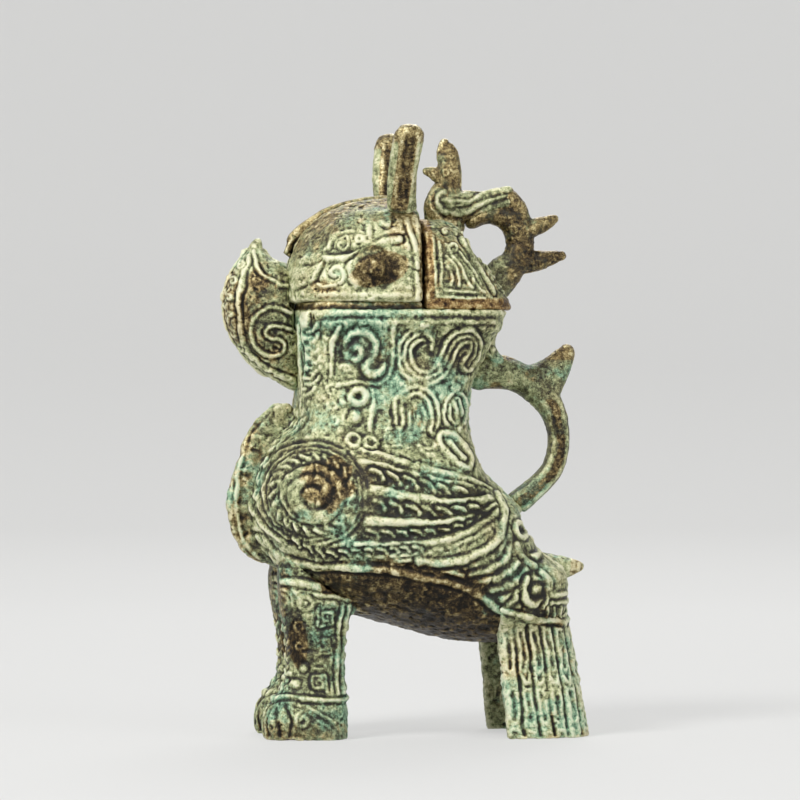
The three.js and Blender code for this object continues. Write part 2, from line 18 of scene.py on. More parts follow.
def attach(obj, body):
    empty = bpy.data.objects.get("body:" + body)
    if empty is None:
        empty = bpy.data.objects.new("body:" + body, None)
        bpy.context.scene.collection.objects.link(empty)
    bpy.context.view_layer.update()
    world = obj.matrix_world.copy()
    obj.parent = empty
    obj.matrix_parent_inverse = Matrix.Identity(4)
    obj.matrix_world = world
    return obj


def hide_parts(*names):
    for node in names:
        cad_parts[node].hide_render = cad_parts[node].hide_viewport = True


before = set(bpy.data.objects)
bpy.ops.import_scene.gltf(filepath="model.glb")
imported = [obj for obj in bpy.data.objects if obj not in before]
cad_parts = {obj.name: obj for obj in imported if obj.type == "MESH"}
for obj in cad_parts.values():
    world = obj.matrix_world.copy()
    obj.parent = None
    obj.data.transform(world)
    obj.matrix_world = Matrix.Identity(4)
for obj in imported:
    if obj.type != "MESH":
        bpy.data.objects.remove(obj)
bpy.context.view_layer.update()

MM = 1000.0
NOISE_VALUES = 8192
NOISE_KEYS = (73856093, 19349663, 83492791)
SEED_SHIFT = 3.17


# Small numeric helpers


def ease(low, high, x):
    """0 below low, 1 above high, and a smooth step between."""
    t = np.clip((x - low) / (high - low), 0.0, 1.0)
    return t * t * (3.0 - 2.0 * t)


def noise(points, size, seed):
    """Smooth random values from -1 to 1 that change over about the given size."""
    table = np.random.default_rng(seed).uniform(-1.0, 1.0, NOISE_VALUES)
    scaled = points / size + seed * SEED_SHIFT
    cell = np.floor(scaled).astype(np.int64)
    part = ease(0.0, 1.0, scaled - cell)
    total = np.zeros(len(points))
    for corner in range(8):
        step = np.array([corner & 1, corner >> 1 & 1, corner >> 2 & 1])
        a, b, c = ((cell + step) * NOISE_KEYS).T
        key = a ^ b ^ c
        weight = np.prod(np.where(step == 1, part, 1.0 - part), axis=1)
        total += weight * table[key % len(table)]
    return total


def curve(points, closed=False, per_span=7):
    """A smooth line through the points."""
    given = np.asarray(points, dtype=float)
    if closed:
        padded = np.vstack([given[-1], given, given[0], given[1]])
    else:
        padded = np.vstack([2 * given[0] - given[1], given, 2 * given[-1] - given[-2]])
    line = []
    for a, b, c, d in zip(padded, padded[1:], padded[2:], padded[3:]):
        for t in np.arange(per_span) / per_span:
            bend = (2 * a - 5 * b + 4 * c - d) * t * t
            twist = (3 * b - a - 3 * c + d) * t**3
            line.append(0.5 * (2 * b + (c - a) * t + bend + twist))
    line.append(padded[-2])
    return np.array(line)


def most(*values):
    """The highest of the given values at each point."""
    return functools.reduce(np.maximum, values)


def spiral(middle, inner, outer, turns, start, hand=1, steps=64):
    """A spiral from its inner end out. start is the angle of the inner end in degrees."""
    t = np.linspace(0.0, 1.0, steps)
    angle = math.radians(start) + hand * turns * 2 * math.pi * t
    radius = inner + (outer - inner) * t
    return np.column_stack([middle[0] + radius * np.cos(angle), middle[1] + radius * np.sin(angle)])


def ring(middle, radius, squash=1.0, tilt=0.0, steps=28):
    """A closed ring, which squash flattens and tilt turns by that many degrees."""
    angle = np.linspace(0.0, 2 * math.pi, steps)
    x = radius * np.cos(angle)
    y = radius * squash * np.sin(angle)
    c = math.cos(math.radians(tilt))
    s = math.sin(math.radians(tilt))
    return np.column_stack([middle[0] + c * x - s * y, middle[1] + s * x + c * y])


# Cross-sections of the lines: distance from the middle of the line, and height there
LINE = ([0.0, 0.35, 0.75, 1.05, 1.35, 1.9], [0.5, 0.44, 0.05, -0.42, -0.36, 0.0])
FINE = ([0.0, 0.25, 0.5, 0.75, 1.0, 1.4], [0.42, 0.36, 0.02, -0.34, -0.28, 0.0])
THIN = ([0.0, 0.2, 0.4, 0.6, 0.9], [0.36, 0.3, 0.0, -0.24, 0.0])
BROAD = ([0.0, 0.7, 1.1, 1.4, 1.7, 2.3], [0.6, 0.5, 0.08, -0.5, -0.42, 0.0])
TRIPLE = (
    [0.0, 0.3, 0.6, 0.85, 1.1, 1.35, 1.85, 2.2, 2.5, 2.85, 3.4],
    [0.45, 0.38, -0.2, -0.65, -0.1, 0.5, 0.46, 0.0, -0.55, -0.42, 0.0],
)
DOUBLE = (
    [0.0, 0.25, 0.55, 0.85, 1.3, 1.65, 1.95, 2.3, 2.8],
    [-0.55, -0.45, 0.1, 0.5, 0.44, 0.02, -0.5, -0.4, 0.0],
)
GROOVE = ([0.0, 0.3, 0.65, 1.0], [-0.7, -0.55, -0.1, 0.0])
HAIR = ([0.0, 0.2, 0.5, 0.8], [-0.45, -0.36, -0.06, 0.0])
BOSS = ([0.0, 0.6, 1.1, 1.4, 1.7, 2.2], [0.8, 0.66, 0.06, -0.5, -0.4, 0.0])


class Relief:
    """Heights of raised and cut lines over points laid out flat.

    The lines wander a little, as if cut by hand.
    """

    def __init__(self, u, v):
        flat = np.column_stack([u, v, np.zeros(len(u))])
        self.u = u + 0.4 * noise(flat, 4.0, 71) + 0.2 * noise(flat, 1.4, 72)
        self.v = v + 0.4 * noise(flat, 4.0, 73) + 0.2 * noise(flat, 1.4, 74)
        self.height = np.zeros(len(u))
        self.filled = np.zeros(len(u))
        self.ground = np.zeros(len(u))
        self.shade = np.zeros(len(u))

    def distance(self, line, reach):
        """The points within reach of a line, and how far each lies from it."""
        line = np.asarray(line, dtype=float)
        low = line.min(axis=0) - reach
        high = line.max(axis=0) + reach
        inside = (self.u > low[0]) & (self.u < high[0]) & (self.v > low[1]) & (self.v < high[1])
        near = np.flatnonzero(inside)
        best = np.full(len(near), 1e9)
        if not len(near):
            return near, best
        u = self.u[near]
        v = self.v[near]
        if len(line) == 1:
            return near, np.hypot(u - line[0, 0], v - line[0, 1])
        for a, b in zip(line, line[1:]):
            run = b - a
            length = max(float(run @ run), 1e-9)
            t = np.clip(((u - a[0]) * run[0] + (v - a[1]) * run[1]) / length, 0.0, 1.0)
            square = (u - a[0] - t * run[0]) ** 2 + (v - a[1] - t * run[1]) ** 2
            np.minimum(best, square, out=best)
        return near, np.sqrt(best)

    def lay(self, near, far, profile, size=1.0, high=1.0):
        """Lays a cross-section over what is there, so that a later line runs over an earlier."""
        reach = profile[0][-1] * size
        value = high * np.interp(far / size, *profile)
        cover = 1.0 - ease(0.8 * reach, reach, far)
        self.height[near] += cover * (value - self.height[near])
        self.filled[near] = np.maximum(self.filled[near], cover)

    def stroke(self, points, profile=LINE, size=1.0, high=1.0, closed=False, smooth=True):
        line = curve(points, closed) if smooth else np.asarray(points, dtype=float)
        near, far = self.distance(line, profile[0][-1] * size)
        self.lay(near, far, profile, size, high)

    def path(self, line, profile=LINE, size=1.0, high=1.0):
        self.stroke(line, profile, size, high, smooth=False)

    def dot(self, middle, size=1.0, high=1.0, profile=BOSS):
        near, far = self.distance([middle], profile[0][-1] * size)
        self.lay(near, far, profile, size, high)

    def sink(self, line, reach, shade=0.5, deep=0.2, smooth=True):
        """Lowers and darkens the ground within reach of a line."""
        near, far = self.distance(curve(line) if smooth else line, reach)
        cover = ease(reach, 0.6 * reach, far)
        self.shade[near] = np.maximum(self.shade[near], shade * cover)
        self.ground[near] = np.minimum(self.ground[near], -deep * cover)
        self.filled[near] = np.maximum(self.filled[near], cover)

    def pit(self, middle, radius, deep=0.5):
        self.dot(middle, radius, deep, ([0.0, 0.6, 1.0, 1.3], [-1.0, -0.85, -0.1, 0.0]))

    def curl(self, middle, radius, start=0.0, hand=1, profile=FINE):
        """A small hook of about one turn, closed in the middle."""
        turns = 0.95 if radius < 2.0 else 1.35
        self.path(spiral(middle, 0.25, radius, turns, start, hand, 26), profile)

    def hooks(self, line, pitch, lean, size=1.0, high=1.0):
        """A row of little curved feathers along a line."""
        line = curve(line)
        steps = np.hypot(*np.diff(line, axis=0).T)
        along = np.concatenate([[0.0], np.cumsum(steps)])
        for s in np.arange(pitch * 0.5, along[-1], pitch):
            x = np.interp(s, along, line[:, 0])
            y = np.interp(s, along, line[:, 1])
            k = min(int(np.searchsorted(along, s)), len(line) - 1)
            way = line[k] - line[k - 1]
            way = way / np.hypot(*way)
            side = np.array([-way[1], way[0]])
            at = np.array([x, y])
            hook = [
                at - way * 0.42 * pitch + side * lean,
                at - way * 0.05 * pitch + side * 0.75 * lean,
                at + way * 0.3 * pitch,
                at + way * 0.36 * pitch - side * 0.9 * lean,
            ]
            self.stroke(hook, FINE, size, high)

    def fill(self, low, high, pitch, seed, profile=FINE, share=1.0):
        """Small curls, rings and bars on a share of the places where nothing else stands yet."""
        rng = np.random.default_rng(seed)
        spots = []
        for row, v in enumerate(np.arange(low[1], high[1], pitch)):
            for u in np.arange(low[0] + (row % 2) * pitch / 2, high[0], pitch):
                spots.append((u, v))
        for u, v in spots:
            shift = rng.uniform(-0.22, 0.22, 2) * pitch
            turn = rng.uniform(0.0, 360.0)
            kind = rng.uniform()
            middle = (u + shift[0], v + shift[1])
            if rng.uniform() > share:
                continue
            near, far = self.distance([middle], pitch * 0.62)
            if not len(near):
                continue
            used = self.filled[near[far < pitch * 0.5]]
            if len(used) == 0 or used.mean() > 0.34:
                continue
            radius = pitch * 0.4
            if kind < 0.55:
                self.curl(middle, radius, turn, 1 if kind < 0.3 else -1, profile)
            elif kind < 0.8:
                self.path(ring(middle, radius * 0.75, 0.8, turn, 16), profile)
            else:
                self.dot(middle, radius * 0.55, 0.7)


# Meshes


def lump(both, middle, size):
    """Adds an ellipsoid with the given half sizes."""
    shape = Matrix.Translation(middle) @ Matrix.Diagonal((*size, 1.0))
    bmesh.ops.create_icosphere(both, subdivisions=3, radius=1.0, matrix=shape)


def skin_of(name, voxel, lumps, extra):
    """A CAD node's mesh in millimetres, rebuilt with even faces.

    lumps are rows of (y, z, half height, half width) in the middle plane that are cast onto it,
    and extra(mesh) may add more.
    """
    both = bmesh.new()
    both.from_mesh(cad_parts[name].data)
    both.transform(Matrix.Scale(MM, 4))
    for row in lumps:
        for y, z, tall, wide in curve(row, per_span=5):
            lump(both, (0.0, y, z), (wide, tall, tall))
    if extra:
        extra(both)
    mesh = bpy.data.meshes.new(name)
    both.to_mesh(mesh)
    both.free()
    work = bpy.data.objects.new(name + "_work", mesh)
    bpy.context.scene.collection.objects.link(work)
    remesh = work.modifiers.new("even", "REMESH")
    remesh.mode = "VOXEL"
    remesh.voxel_size = voxel * 1.0
    even = applied(work)
    bpy.data.objects.remove(work)
    bpy.data.meshes.remove(mesh)
    return even


def applied(obj):
    """The mesh of an object with its modifiers applied."""
    graph = bpy.context.evaluated_depsgraph_get()
    return bpy.data.meshes.new_from_object(obj.evaluated_get(graph))


def places(mesh, name="co"):
    """The vertices' places, or their normals."""
    values = np.empty(len(mesh.vertices) * 3, dtype=np.float32)
    mesh.vertices.foreach_get(name, values)
    return values.reshape(-1, 3).astype(np.float64)


def edges(mesh):
    values = np.empty(len(mesh.edges) * 2, dtype=np.int32)
    mesh.edges.foreach_get("vertices", values)
    return values.reshape(-1, 2)


def put(mesh, points):
    mesh.vertices.foreach_set("co", points.astype(np.float32).ravel())
    mesh.update()


class Smoother:
    """Draws each vertex, or a value on it, towards the mean of its neighbours."""

    def __init__(self, pairs, count):
        self.a = pairs[:, 0]
        self.b = pairs[:, 1]
        self.count = count
        self.valence = np.maximum(np.bincount(pairs.ravel(), minlength=count), 1)

    def mean(self, values):
        total = np.bincount(self.a, values[self.b], self.count)
        total += np.bincount(self.b, values[self.a], self.count)
        return total / self.valence

    def run(self, points, rounds, share=0.6):
        points = points.copy()
        for i in range(int(np.max(rounds))):
            live = share * np.clip(rounds - i, 0.0, 1.0)
            for axis in range(3):
                column = points[:, axis]
                points[:, axis] = column + live * (self.mean(column) - column)
        return points

    def blur(self, values, rounds):
        for _ in range(rounds):
            values = 0.5 * values + 0.5 * self.mean(values)
        return values


def casting(points):
    """The slow swells of a casting, and its grain, crusts and chips, in millimetres."""
    swells = 0.22 * noise(points, 7.0, 13)
    grain = 0.13 * noise(points, 1.5, 11) + 0.1 * noise(points, 0.75, 12)
    crusts = 0.25 * ease(0.3, 0.8, noise(points, 1.8, 18))
    chips = -0.3 * ease(0.5, 0.85, noise(points, 2.1, 14)) - 0.26 * ease(0.5, 0.8, noise(points, 1.0, 17))
    return swells, grain + crusts + chips


def sculpt(
    name, material, relief, voxel, rounds, faces,
    swell=0.16, lumps=(), bend=None, extra=None, coarse=1.0,
):
    """Builds the visible piece for a CAD node.

    relief(points, normals) gives three values at each vertex: its height in millimetres, how worn
    it is, and how dark it is made, partly by dark patina and partly by painted shade. voxel and
    swell are millimetres, rounds says how often the skin is smoothed, and coarse how rough the
    casting is. rounds and coarse may be functions of the points. faces is the most triangles that
    the piece may have.
    """
    mesh = skin_of(name, voxel, lumps, extra)
    base = places(mesh)
    if bend:
        base = bend(base)
    smoother = Smoother(edges(mesh), len(base))
    spread = rounds(base) if callable(rounds) else np.full(len(base), float(rounds))
    base = smoother.run(base, spread)
    put(mesh, base)
    normals = places(mesh, "normal")
    height, worn, grime_and_shade = relief(base, normals)
    # The relief is worn lower in some places than in others.
    fade = np.clip(0.95 + 0.6 * noise(base, 5.0, 15) + 0.5 * noise(base, 1.7, 16), 0.12, 1.5)
    height = smoother.blur(height * fade, 3)
    swells, marks = casting(base)
    rough = coarse(base) if callable(coarse) else coarse
    push = swell + height + swells + rough * marks
    shaped = base + normals * push[:, None]
    shaped[:, 2] = np.maximum(shaped[:, 2], 0.0)
    put(mesh, shaped)
    # How far each vertex stands out of its surroundings: out on edges it is paler, as wear, and in creases
    # darker, as painted shade.
    turned = places(mesh, "normal")
    away = np.zeros(len(base))
    for axis in range(3):
        wide = smoother.blur(shaped[:, axis], 10)
        away += (shaped[:, axis] - wide) * turned[:, axis]
    attributes = {
        # The darkening value lowers rise, so those places get darker colour: partly dark patina, partly
        # painted shade.
        "rise": np.clip(0.5 + 0.55 * height + 1.1 * away - 0.5 * grime_and_shade, 0.0, 1.0),
        "edge": np.clip(0.5 + 2.6 * away, 0.0, 1.0),
        "worn": np.clip(worn, 0.0, 1.0),
    }
    for label, values in attributes.items():
        layer = mesh.attributes.new(label, "FLOAT", "POINT")
        layer.data.foreach_set("value", values.astype(np.float32))
    mesh.transform(Matrix.Scale(1.0 / MM, 4))
    obj = bpy.data.objects.new(name + "_bronze", mesh)
    bpy.context.scene.collection.objects.link(obj)
    triangles = 2 * len(mesh.polygons)
    if triangles > faces:
        fewer = obj.modifiers.new("fewer", "DECIMATE")
        fewer.ratio = faces / triangles
        slim = applied(obj)
        obj.modifiers.clear()
        obj.data = slim
        bpy.data.meshes.remove(mesh)
    obj.data.name = name + "_bronze"
    obj.data.shade_smooth()
    obj.data.materials.clear()
    obj.data.materials.append(material)
    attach(obj, "lid" if name.startswith("lid") else "vessel")
    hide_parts(name)


# Ornament


COIL = (-28.4, 67.3)
EYE = (-10.6, 128.6)


def side_weight(n, low=0.28, high=0.5):
    """1 where a face looks to the side, and 0 where it looks ahead, back, up or down."""
    return ease(low, high, np.abs(n[:, 0]))


def outward(p, n, y, z):
    """How far each face looks away from a place in the hollow. Inner walls are below 0."""
    return n[:, 0] * p[:, 0] + n[:, 1] * (p[:, 1] - y) + n[:, 2] * (p[:, 2] - z)


def on_flanks(p, n, draw, low, high, where=True, share=1):
    """Height and shade of relief laid out as seen from the side, on both flanks alike."""
    height = np.zeros(len(p))
    shade = np.zeros(len(p))
    chosen = np.flatnonzero(where & (np.abs(n[:, 0]) > low))
    r = Relief(p[chosen, 1], p[chosen, 2])
    draw(r)
    turn = side_weight(n[chosen], low, high)
    height[chosen] = (share * r.height + r.ground) * turn
    shade[chosen] = r.shade * turn
    return height, shade


def on_middle(p, height, draw, where, share):
    """Adds relief that is laid out by distance from the middle plane and by height."""
    chosen = np.flatnonzero(where)
    r = Relief(np.abs(p[chosen, 0]), p[chosen, 2])
    draw(r)
    height[chosen] += r.height * share[chosen]


NECK_SCROLL = [
    (2.3, 111.1), (-0.7, 109.7), (-2.5, 106.7), (-2.5, 102.9), (-0.2, 99.6), (3.3, 98.7), (6.6, 100.2),
    (8.7, 103.6), (10.2, 107.4), (12.4, 109.9), (15.3, 110.3), (17, 108.4), (16.6, 105.1), (14.8, 102.2),
]


def neck_ornament(r):
    """Scrolls, rings and bosses on the side of the neck."""
    r.path([(-30, 115.2), (22, 115.2)], GROOVE, 1, 0.9)
    r.path([(-7, 113.3), (22, 113.1)], GROOVE, 0.9, 0.7)
    r.sink([(-27, 112.6), (-20, 113.4)], 2.6, 0.4, 0.1)
    r.stroke([(-29.6, 117.6), (-28.9, 110.5), (-28.5, 102.9), (-29.1, 97.1), (-30.3, 89)], BROAD, 0.8)
    r.stroke([(-26.2, 113.6), (-25.7, 108), (-26, 102), (-27.2, 96), (-29.4, 90.4)], HAIR, 1.3)
    r.hooks([(-27.6, 114), (-27, 104), (-28, 94)], 2.9, 1.2, 0.9)
    r.sink([(4.4, 105.4), (11.6, 104.4)], 6.4, 0.2, 0.15)
    r.stroke(NECK_SCROLL, TRIPLE, 1, 1.15)
    r.stroke([(2.9, 111), (4.9, 108.9), (4.4, 106.6)], LINE, 0.9)
    arm = [
        (-18.9, 105.8), (-18.6, 108.9), (-16.4, 110.9), (-13.4, 110.8), (-11.3, 108.7), (-11.2, 105.8),
        (-12.6, 103.2), (-13.8, 101.6), (-12.6, 100), (-9.8, 100.2), (-7.9, 101.9),
    ]
    r.sink(arm, 4, 0.4, 0.35)
    r.stroke(arm, BROAD, 0.95, 1.3)
    r.stroke([
        (-18.9, 105.8), (-17.9, 104.2), (-15.9, 104), (-14.6, 105.6), (-15.4, 107.3), (-16.8, 107),
    ], LINE)
    r.stroke([(-22.8, 99.8), (-22.7, 104), (-22.4, 109), (-20.6, 112.8)], LINE, 0.8)
    r.stroke([
        (-6.4, 112.4), (-6, 106), (-6.6, 100.4), (-9.6, 97.4), (-16, 97.6), (-21.4, 96.8),
    ], LINE, 0.85)
    r.stroke([(-12, 95.4), (-11.6, 90.2), (-12.4, 85)], LINE)
    r.path(ring((-15.4, 93.7), 2), LINE, 1.1)
    r.pit((-15.4, 93.7), 1, 0.8)
    r.dot((-16.4, 88), 1.5)
    hook = [
        (-4.4, 85.6), (-4.6, 89.8), (-3.9, 93.3), (-1, 95.3), (2.3, 95), (4.8, 92.4), (5.6, 88.6),
        (5.2, 84.6),
    ]
    r.stroke(hook, DOUBLE, 0.9)
    r.stroke([(-1.8, 85.4), (-1.7, 89.4), (0.2, 91.4), (2.2, 90.4), (2.6, 87.4), (2, 84.6)], FINE, 0.9, 0.7)
    r.path(ring((11.6, 89.8), 4.4, 0.6, 83), DOUBLE, 0.72)
    r.path([(11.4, 92), (11.8, 87.4)], LINE, 0.8)
    tear = [(6.9, 83), (7.9, 79.2), (11, 75.9), (14.8, 74.2), (15.6, 77), (12.9, 81), (9.8, 83.6)]
    r.stroke(tear, LINE, closed=True)
    r.stroke([(9.6, 81.2), (11.4, 78.6), (13.6, 76.8)], LINE, 0.8)
    for middle, size in (((-17.2, 81.8), 1.7), ((-12.6, 81.2), 1.6)):
        r.path(ring(middle, size), FINE)
        r.pit(middle, 0.5)
    for size in (1, 2.3, 3.6):
        r.path(ring((-6.3, 82.6), size, 0.9, 45, 5), THIN)
    r.stroke([(0.4, 80.6), (1.8, 79.4), (3.6, 79.4), (5.2, 80.8)], FINE)
    r.stroke([(1.2, 78.8), (2.8, 77.8), (4.6, 78)], FINE)
    for k, height in enumerate((95.4, 91.4, 87.4)):
        r.curl((-22.4 + 0.5 * (k % 2), height), 1.7, 60 + 70 * k, -1, THIN)
    r.curl((-18.6, 101.2), 1.6, 200, 1, THIN)
    r.dot((-19.6, 92.2), 0.8, 0.6)
    r.dot((-20.6, 84.6), 0.8, 0.6)


def wing_ornament(r):
    """The coiled shoulder, the long feathers and the lines round them."""
    leaf = [
        (-29.6, 88.8), (-31.8, 89.2), (-36.4, 85.4), (-40.6, 80.6), (-42.8, 76.6), (-42, 75.8),
        (-38.4, 79.6), (-34.2, 83.6), (-30.4, 86.8),
    ]
    r.stroke(leaf, LINE, 0.9, 1.4, closed=True)
    for size, first, last in ((15.3, 150, 238), (17.4, 140, 232)):
        arc = [(COIL[0] + size * math.cos(a), COIL[1] + size * math.sin(a))
               for a in np.radians(np.linspace(first, last, 14))]
        r.path(arc, FINE)
    r.stroke([
        (-41.6, 55), (-38.4, 51.4), (-34.2, 49), (-28.6, 47.6), (-18.2, 47.3), (-6.3, 46.3),
        (3.3, 44.2), (10.9, 42.4), (16.7, 39.4), (22.4, 35.9), (28.2, 34.1), (33.9, 32.4), (41.2, 31.6),
    ], BROAD, 0.9)
    r.stroke([
        (-19, 50.6), (-8.2, 49.9), (-0.6, 49.2), (7.1, 47.1), (14.8, 44), (18.6, 41.6), (23.6, 38.4),
    ], LINE)
    r.stroke([(-15.9, 79.4), (-8.2, 77.4), (-0.6, 75.2), (7.1, 73.2), (14.8, 71), (21.5, 67.8)], LINE)
    r.stroke([(-16.6, 76.4), (-8.2, 74.6), (-0.6, 72.6), (7.1, 71), (15, 69.2), (21.4, 67.1)], FINE)
    for band in ([(-14.6, 72.9), (-6, 71.3), (1.4, 69.7), (9, 68.2), (17, 67.3)],
                 [(-14.2, 64.2), (-4.4, 63.4), (3.3, 62.7), (10.9, 62.5), (18.3, 63.6)],
                 [(-15.6, 57), (-6.3, 56.5), (-0.6, 56.5), (5.6, 57), (12.5, 58.3), (20, 61.8)]):
        r.sink(band, 2.6, 0.6, 0.25)
    r.hooks([(-13.6, 72.9), (-6, 71.3), (1.4, 69.7), (9, 68.2), (15, 67.3)], 4.7, 1.15, 1.3, 1.7)
    r.stroke([
        (-13.4, 68.9), (-4.4, 67.1), (3.3, 65.8), (10.9, 65.2), (16.7, 65.4), (22.8, 66.3),
    ], BROAD, 0.95)
    r.hooks([(-12.9, 64.6), (-4.4, 63.4), (3.3, 62.7), (10.9, 62.5), (16.3, 62.9)], 4.5, 1.15, 1.3, 1.7)
    r.stroke([(-14, 60.4), (-4.4, 59.7), (3.3, 59.6), (10.9, 60), (16.7, 61.4), (22.9, 64.4)], BROAD, 0.95)
    r.hooks([
        (-14.6, 57), (-6.3, 56.5), (-0.6, 56.5), (5.6, 57), (12.5, 58.3), (18.8, 61),
    ], 4, 0.9, 1.1, 1.6)
    r.stroke([(-16.9, 53.6), (-8.2, 53.3), (-0.6, 53.6), (7.1, 55), (14.8, 57.6), (22.2, 62.4)], BROAD, 0.9)
    r.stroke([(-17, 50.8), (-8.2, 50.6), (-0.6, 51.1), (7.1, 52.6), (14.8, 55.2), (20.4, 58.8)], FINE)
    r.stroke([
        (0, 49), (6, 48.7), (11.8, 49.4), (17.6, 51.6), (21.8, 54.8), (24, 58.8), (24.4, 63),
        (23.2, 67.2),
    ], BROAD, 0.95)
    for size, wide in ((14.5, 0.8), (13.1, 0.85), (11.9, 0.7), (8.7, 0.75)):
        r.path(ring(COIL, size, steps=60), GROOVE, wide)
    r.sink(ring(COIL, 10.3, steps=48), 1.2, 0.15, 0.25, False)
    for angle in np.arange(0, 360, 16):
        a = math.radians(angle)
        b = math.radians(angle + 9)
        inner = (COIL[0] + 9.7 * math.cos(a), COIL[1] + 9.7 * math.sin(a))
        outer = (COIL[0] + 10.8 * math.cos(b), COIL[1] + 10.8 * math.sin(b))
        r.path([inner, outer], THIN, 1.2, 1.5)
    r.path(spiral(COIL, 1.7, 7.4, 1.55, 40, 1, 70), GROOVE, 0.95, 0.6)
    rope = [(-34, 54.8), (-29, 52.2), (-23, 51), (-15, 51.9), (-6, 52), (2, 52.6)]
    r.sink(rope, 1.5, 0.45, 0.2)
    r.hooks(rope, 3.3, 0.7, 0.9, 1.5)
    feathers = [
        [(14.2, 45.6), (19.4, 46.6), (24, 49.6), (26.6, 54)],
        [(17, 43.4), (22.4, 44.6), (26.8, 47.6), (29, 51.6)],
        [(19.8, 41), (25, 42.2), (29.2, 44.8), (31.4, 48.4)],
        [(23.2, 38.6), (27.8, 39.9), (30.9, 42.2)],
    ]
    r.sink([(17, 42.6), (26, 44.6), (31, 48.6)], 5, 0.3, 0.1)
    for feather in feathers:
        r.stroke(feather, LINE, 1.1)
    r.sink([(33.4, 40.6)], 3.2, 0.5, 0.2, False)
    r.stroke([(30.6, 44.2), (29.7, 41.2), (30.6, 38), (33.4, 36.8), (36, 38.2)], BROAD, 0.95, 1.3)
    r.dot((33.4, 41), 1.35, 1.1)
    r.stroke([(36.2, 40.6), (37.9, 38.4), (37.3, 35.8), (34.9, 35.2)], LINE, 1.1)
    r.stroke([(24.6, 36.4), (27, 38.2), (27.6, 40.6)], LINE)
    r.stroke([(34.6, 46), (36.8, 42.8), (37, 39.2), (35.4, 36)], LINE)
    r.path([(37.6, 39.6), (43, 39.4)], FINE)
    r.path([(37.4, 37.4), (43, 37.2)], FINE)
    for y_mark in (36.4, 38.6, 40.8):
        r.path([(y_mark, 36.2), (y_mark, 33)], FINE, 0.8)
    r.stroke([(32.6, 56.4), (35, 53.2), (34.6, 50.4), (31.6, 49.6)], BROAD, 0.9)
    r.path(ring((29.2, 57.2), 2.2, 0.7, 115), LINE)
    r.pit((29.2, 57.2), 1.3, 0.8)
    r.stroke([(27.6, 53.4), (29.6, 49.8), (33, 47.4)], LINE)


def breast_scales(f):
    f.stroke([(3.6, 92), (8, 85), (13, 78), (18, 71), (20.6, 62), (19, 52), (14, 44)], LINE)
    for row, low in enumerate(np.arange(40, 86, 4.4)):
        for k in range(4):
            middle = 3.9 + 4.6 * k + (2.3 if row % 2 else 0)
            if middle > 19 - 0.011 * (low - 58) ** 2:
                continue
            scale = [
                (middle - 2.2, low + 2.4), (middle - 1.5, low + 0.4), (middle, low - 0.6),
                (middle + 1.5, low + 0.4), (middle + 2.2, low + 2.4),
            ]
            f.stroke(scale, LINE, 0.9)
            f.path([(middle, low + 0.9), (middle, low + 2.6)], HAIR)


def rump_mask(f):
    """The face of the little owl over the tail, on both sides of its beak."""
    f.dot((8.8, 46.6), 2.3)
    f.path(ring((8.8, 46.6), 4.4), BROAD, 0.9)
    f.stroke([(3, 52.6), (8, 54.2), (13.6, 51.6), (17.5, 46.8)], BROAD)
    f.stroke([(2.6, 56.6), (9, 58.2), (16, 55.4), (21.4, 50.4)], LINE)
    f.stroke([(7.4, 38.6), (11.6, 40.4), (15.6, 43.6), (17.4, 47.6)], LINE)
    f.curl((13.6, 36.6), 2.2, 90)
    f.fill((1, 30), (24, 60), 3.2, 8)


def neck_back(f):
    f.path(spiral((12, 108), 0.6, 4.2, 1.5, 90), LINE)
    f.path(spiral((12.4, 94), 0.6, 3.8, 1.4, 270, -1), LINE)
    f.path(spiral((12.6, 82), 0.6, 3.4, 1.4, 90), LINE)
    f.fill((6, 72), (22, 113), 3.2, 9)


def neck_front(f):
    for k, low in enumerate(np.arange(92, 112, 4)):
        f.curl((13.4, low), 1.6, 90 * k)
        f.curl((17.4, low + 2), 1.5, 90 * k + 50, -1)
    f.path([(10.6, 90), (10.4, 113)], LINE)


def body_side(r):
    wing_ornament(r)
    neck_ornament(r)
    r.fill((-26, 78), (24, 112), 3.2, 5, THIN, 0.4)
    r.fill((24, 50), (42, 66), 3.4, 6, FINE, 0.6)


def flange_relief(f):
    """A rib round the ridge down the breast, with bars on both sides of it."""
    rib = curve([
        (-38, 90), (-43, 85), (-46, 77), (-47.2, 66), (-46.6, 59), (-44.2, 52.6), (-40.2, 48.6),
    ])
    f.path(rib, FINE)
    for a, b in zip(rib[2::5], rib[3::5]):
        way = (b - a) / np.hypot(*(b - a))
        out = np.array([way[1], -way[0]])
        f.sink([a - 0.4 * out, a - 4.6 * out], 0.9, 0.3, 0.07, False)
        f.sink([a + 0.4 * out, a + 4.6 * out], 0.9, 0.3, 0.07, False)


def rump_beak(p, wide, low, high):
    """Where the little owl's beak stands off the rump."""
    return (np.abs(p[:, 0]) < wide) & (p[:, 1] > 40.5) & (p[:, 2] > low) & (p[:, 2] < high)


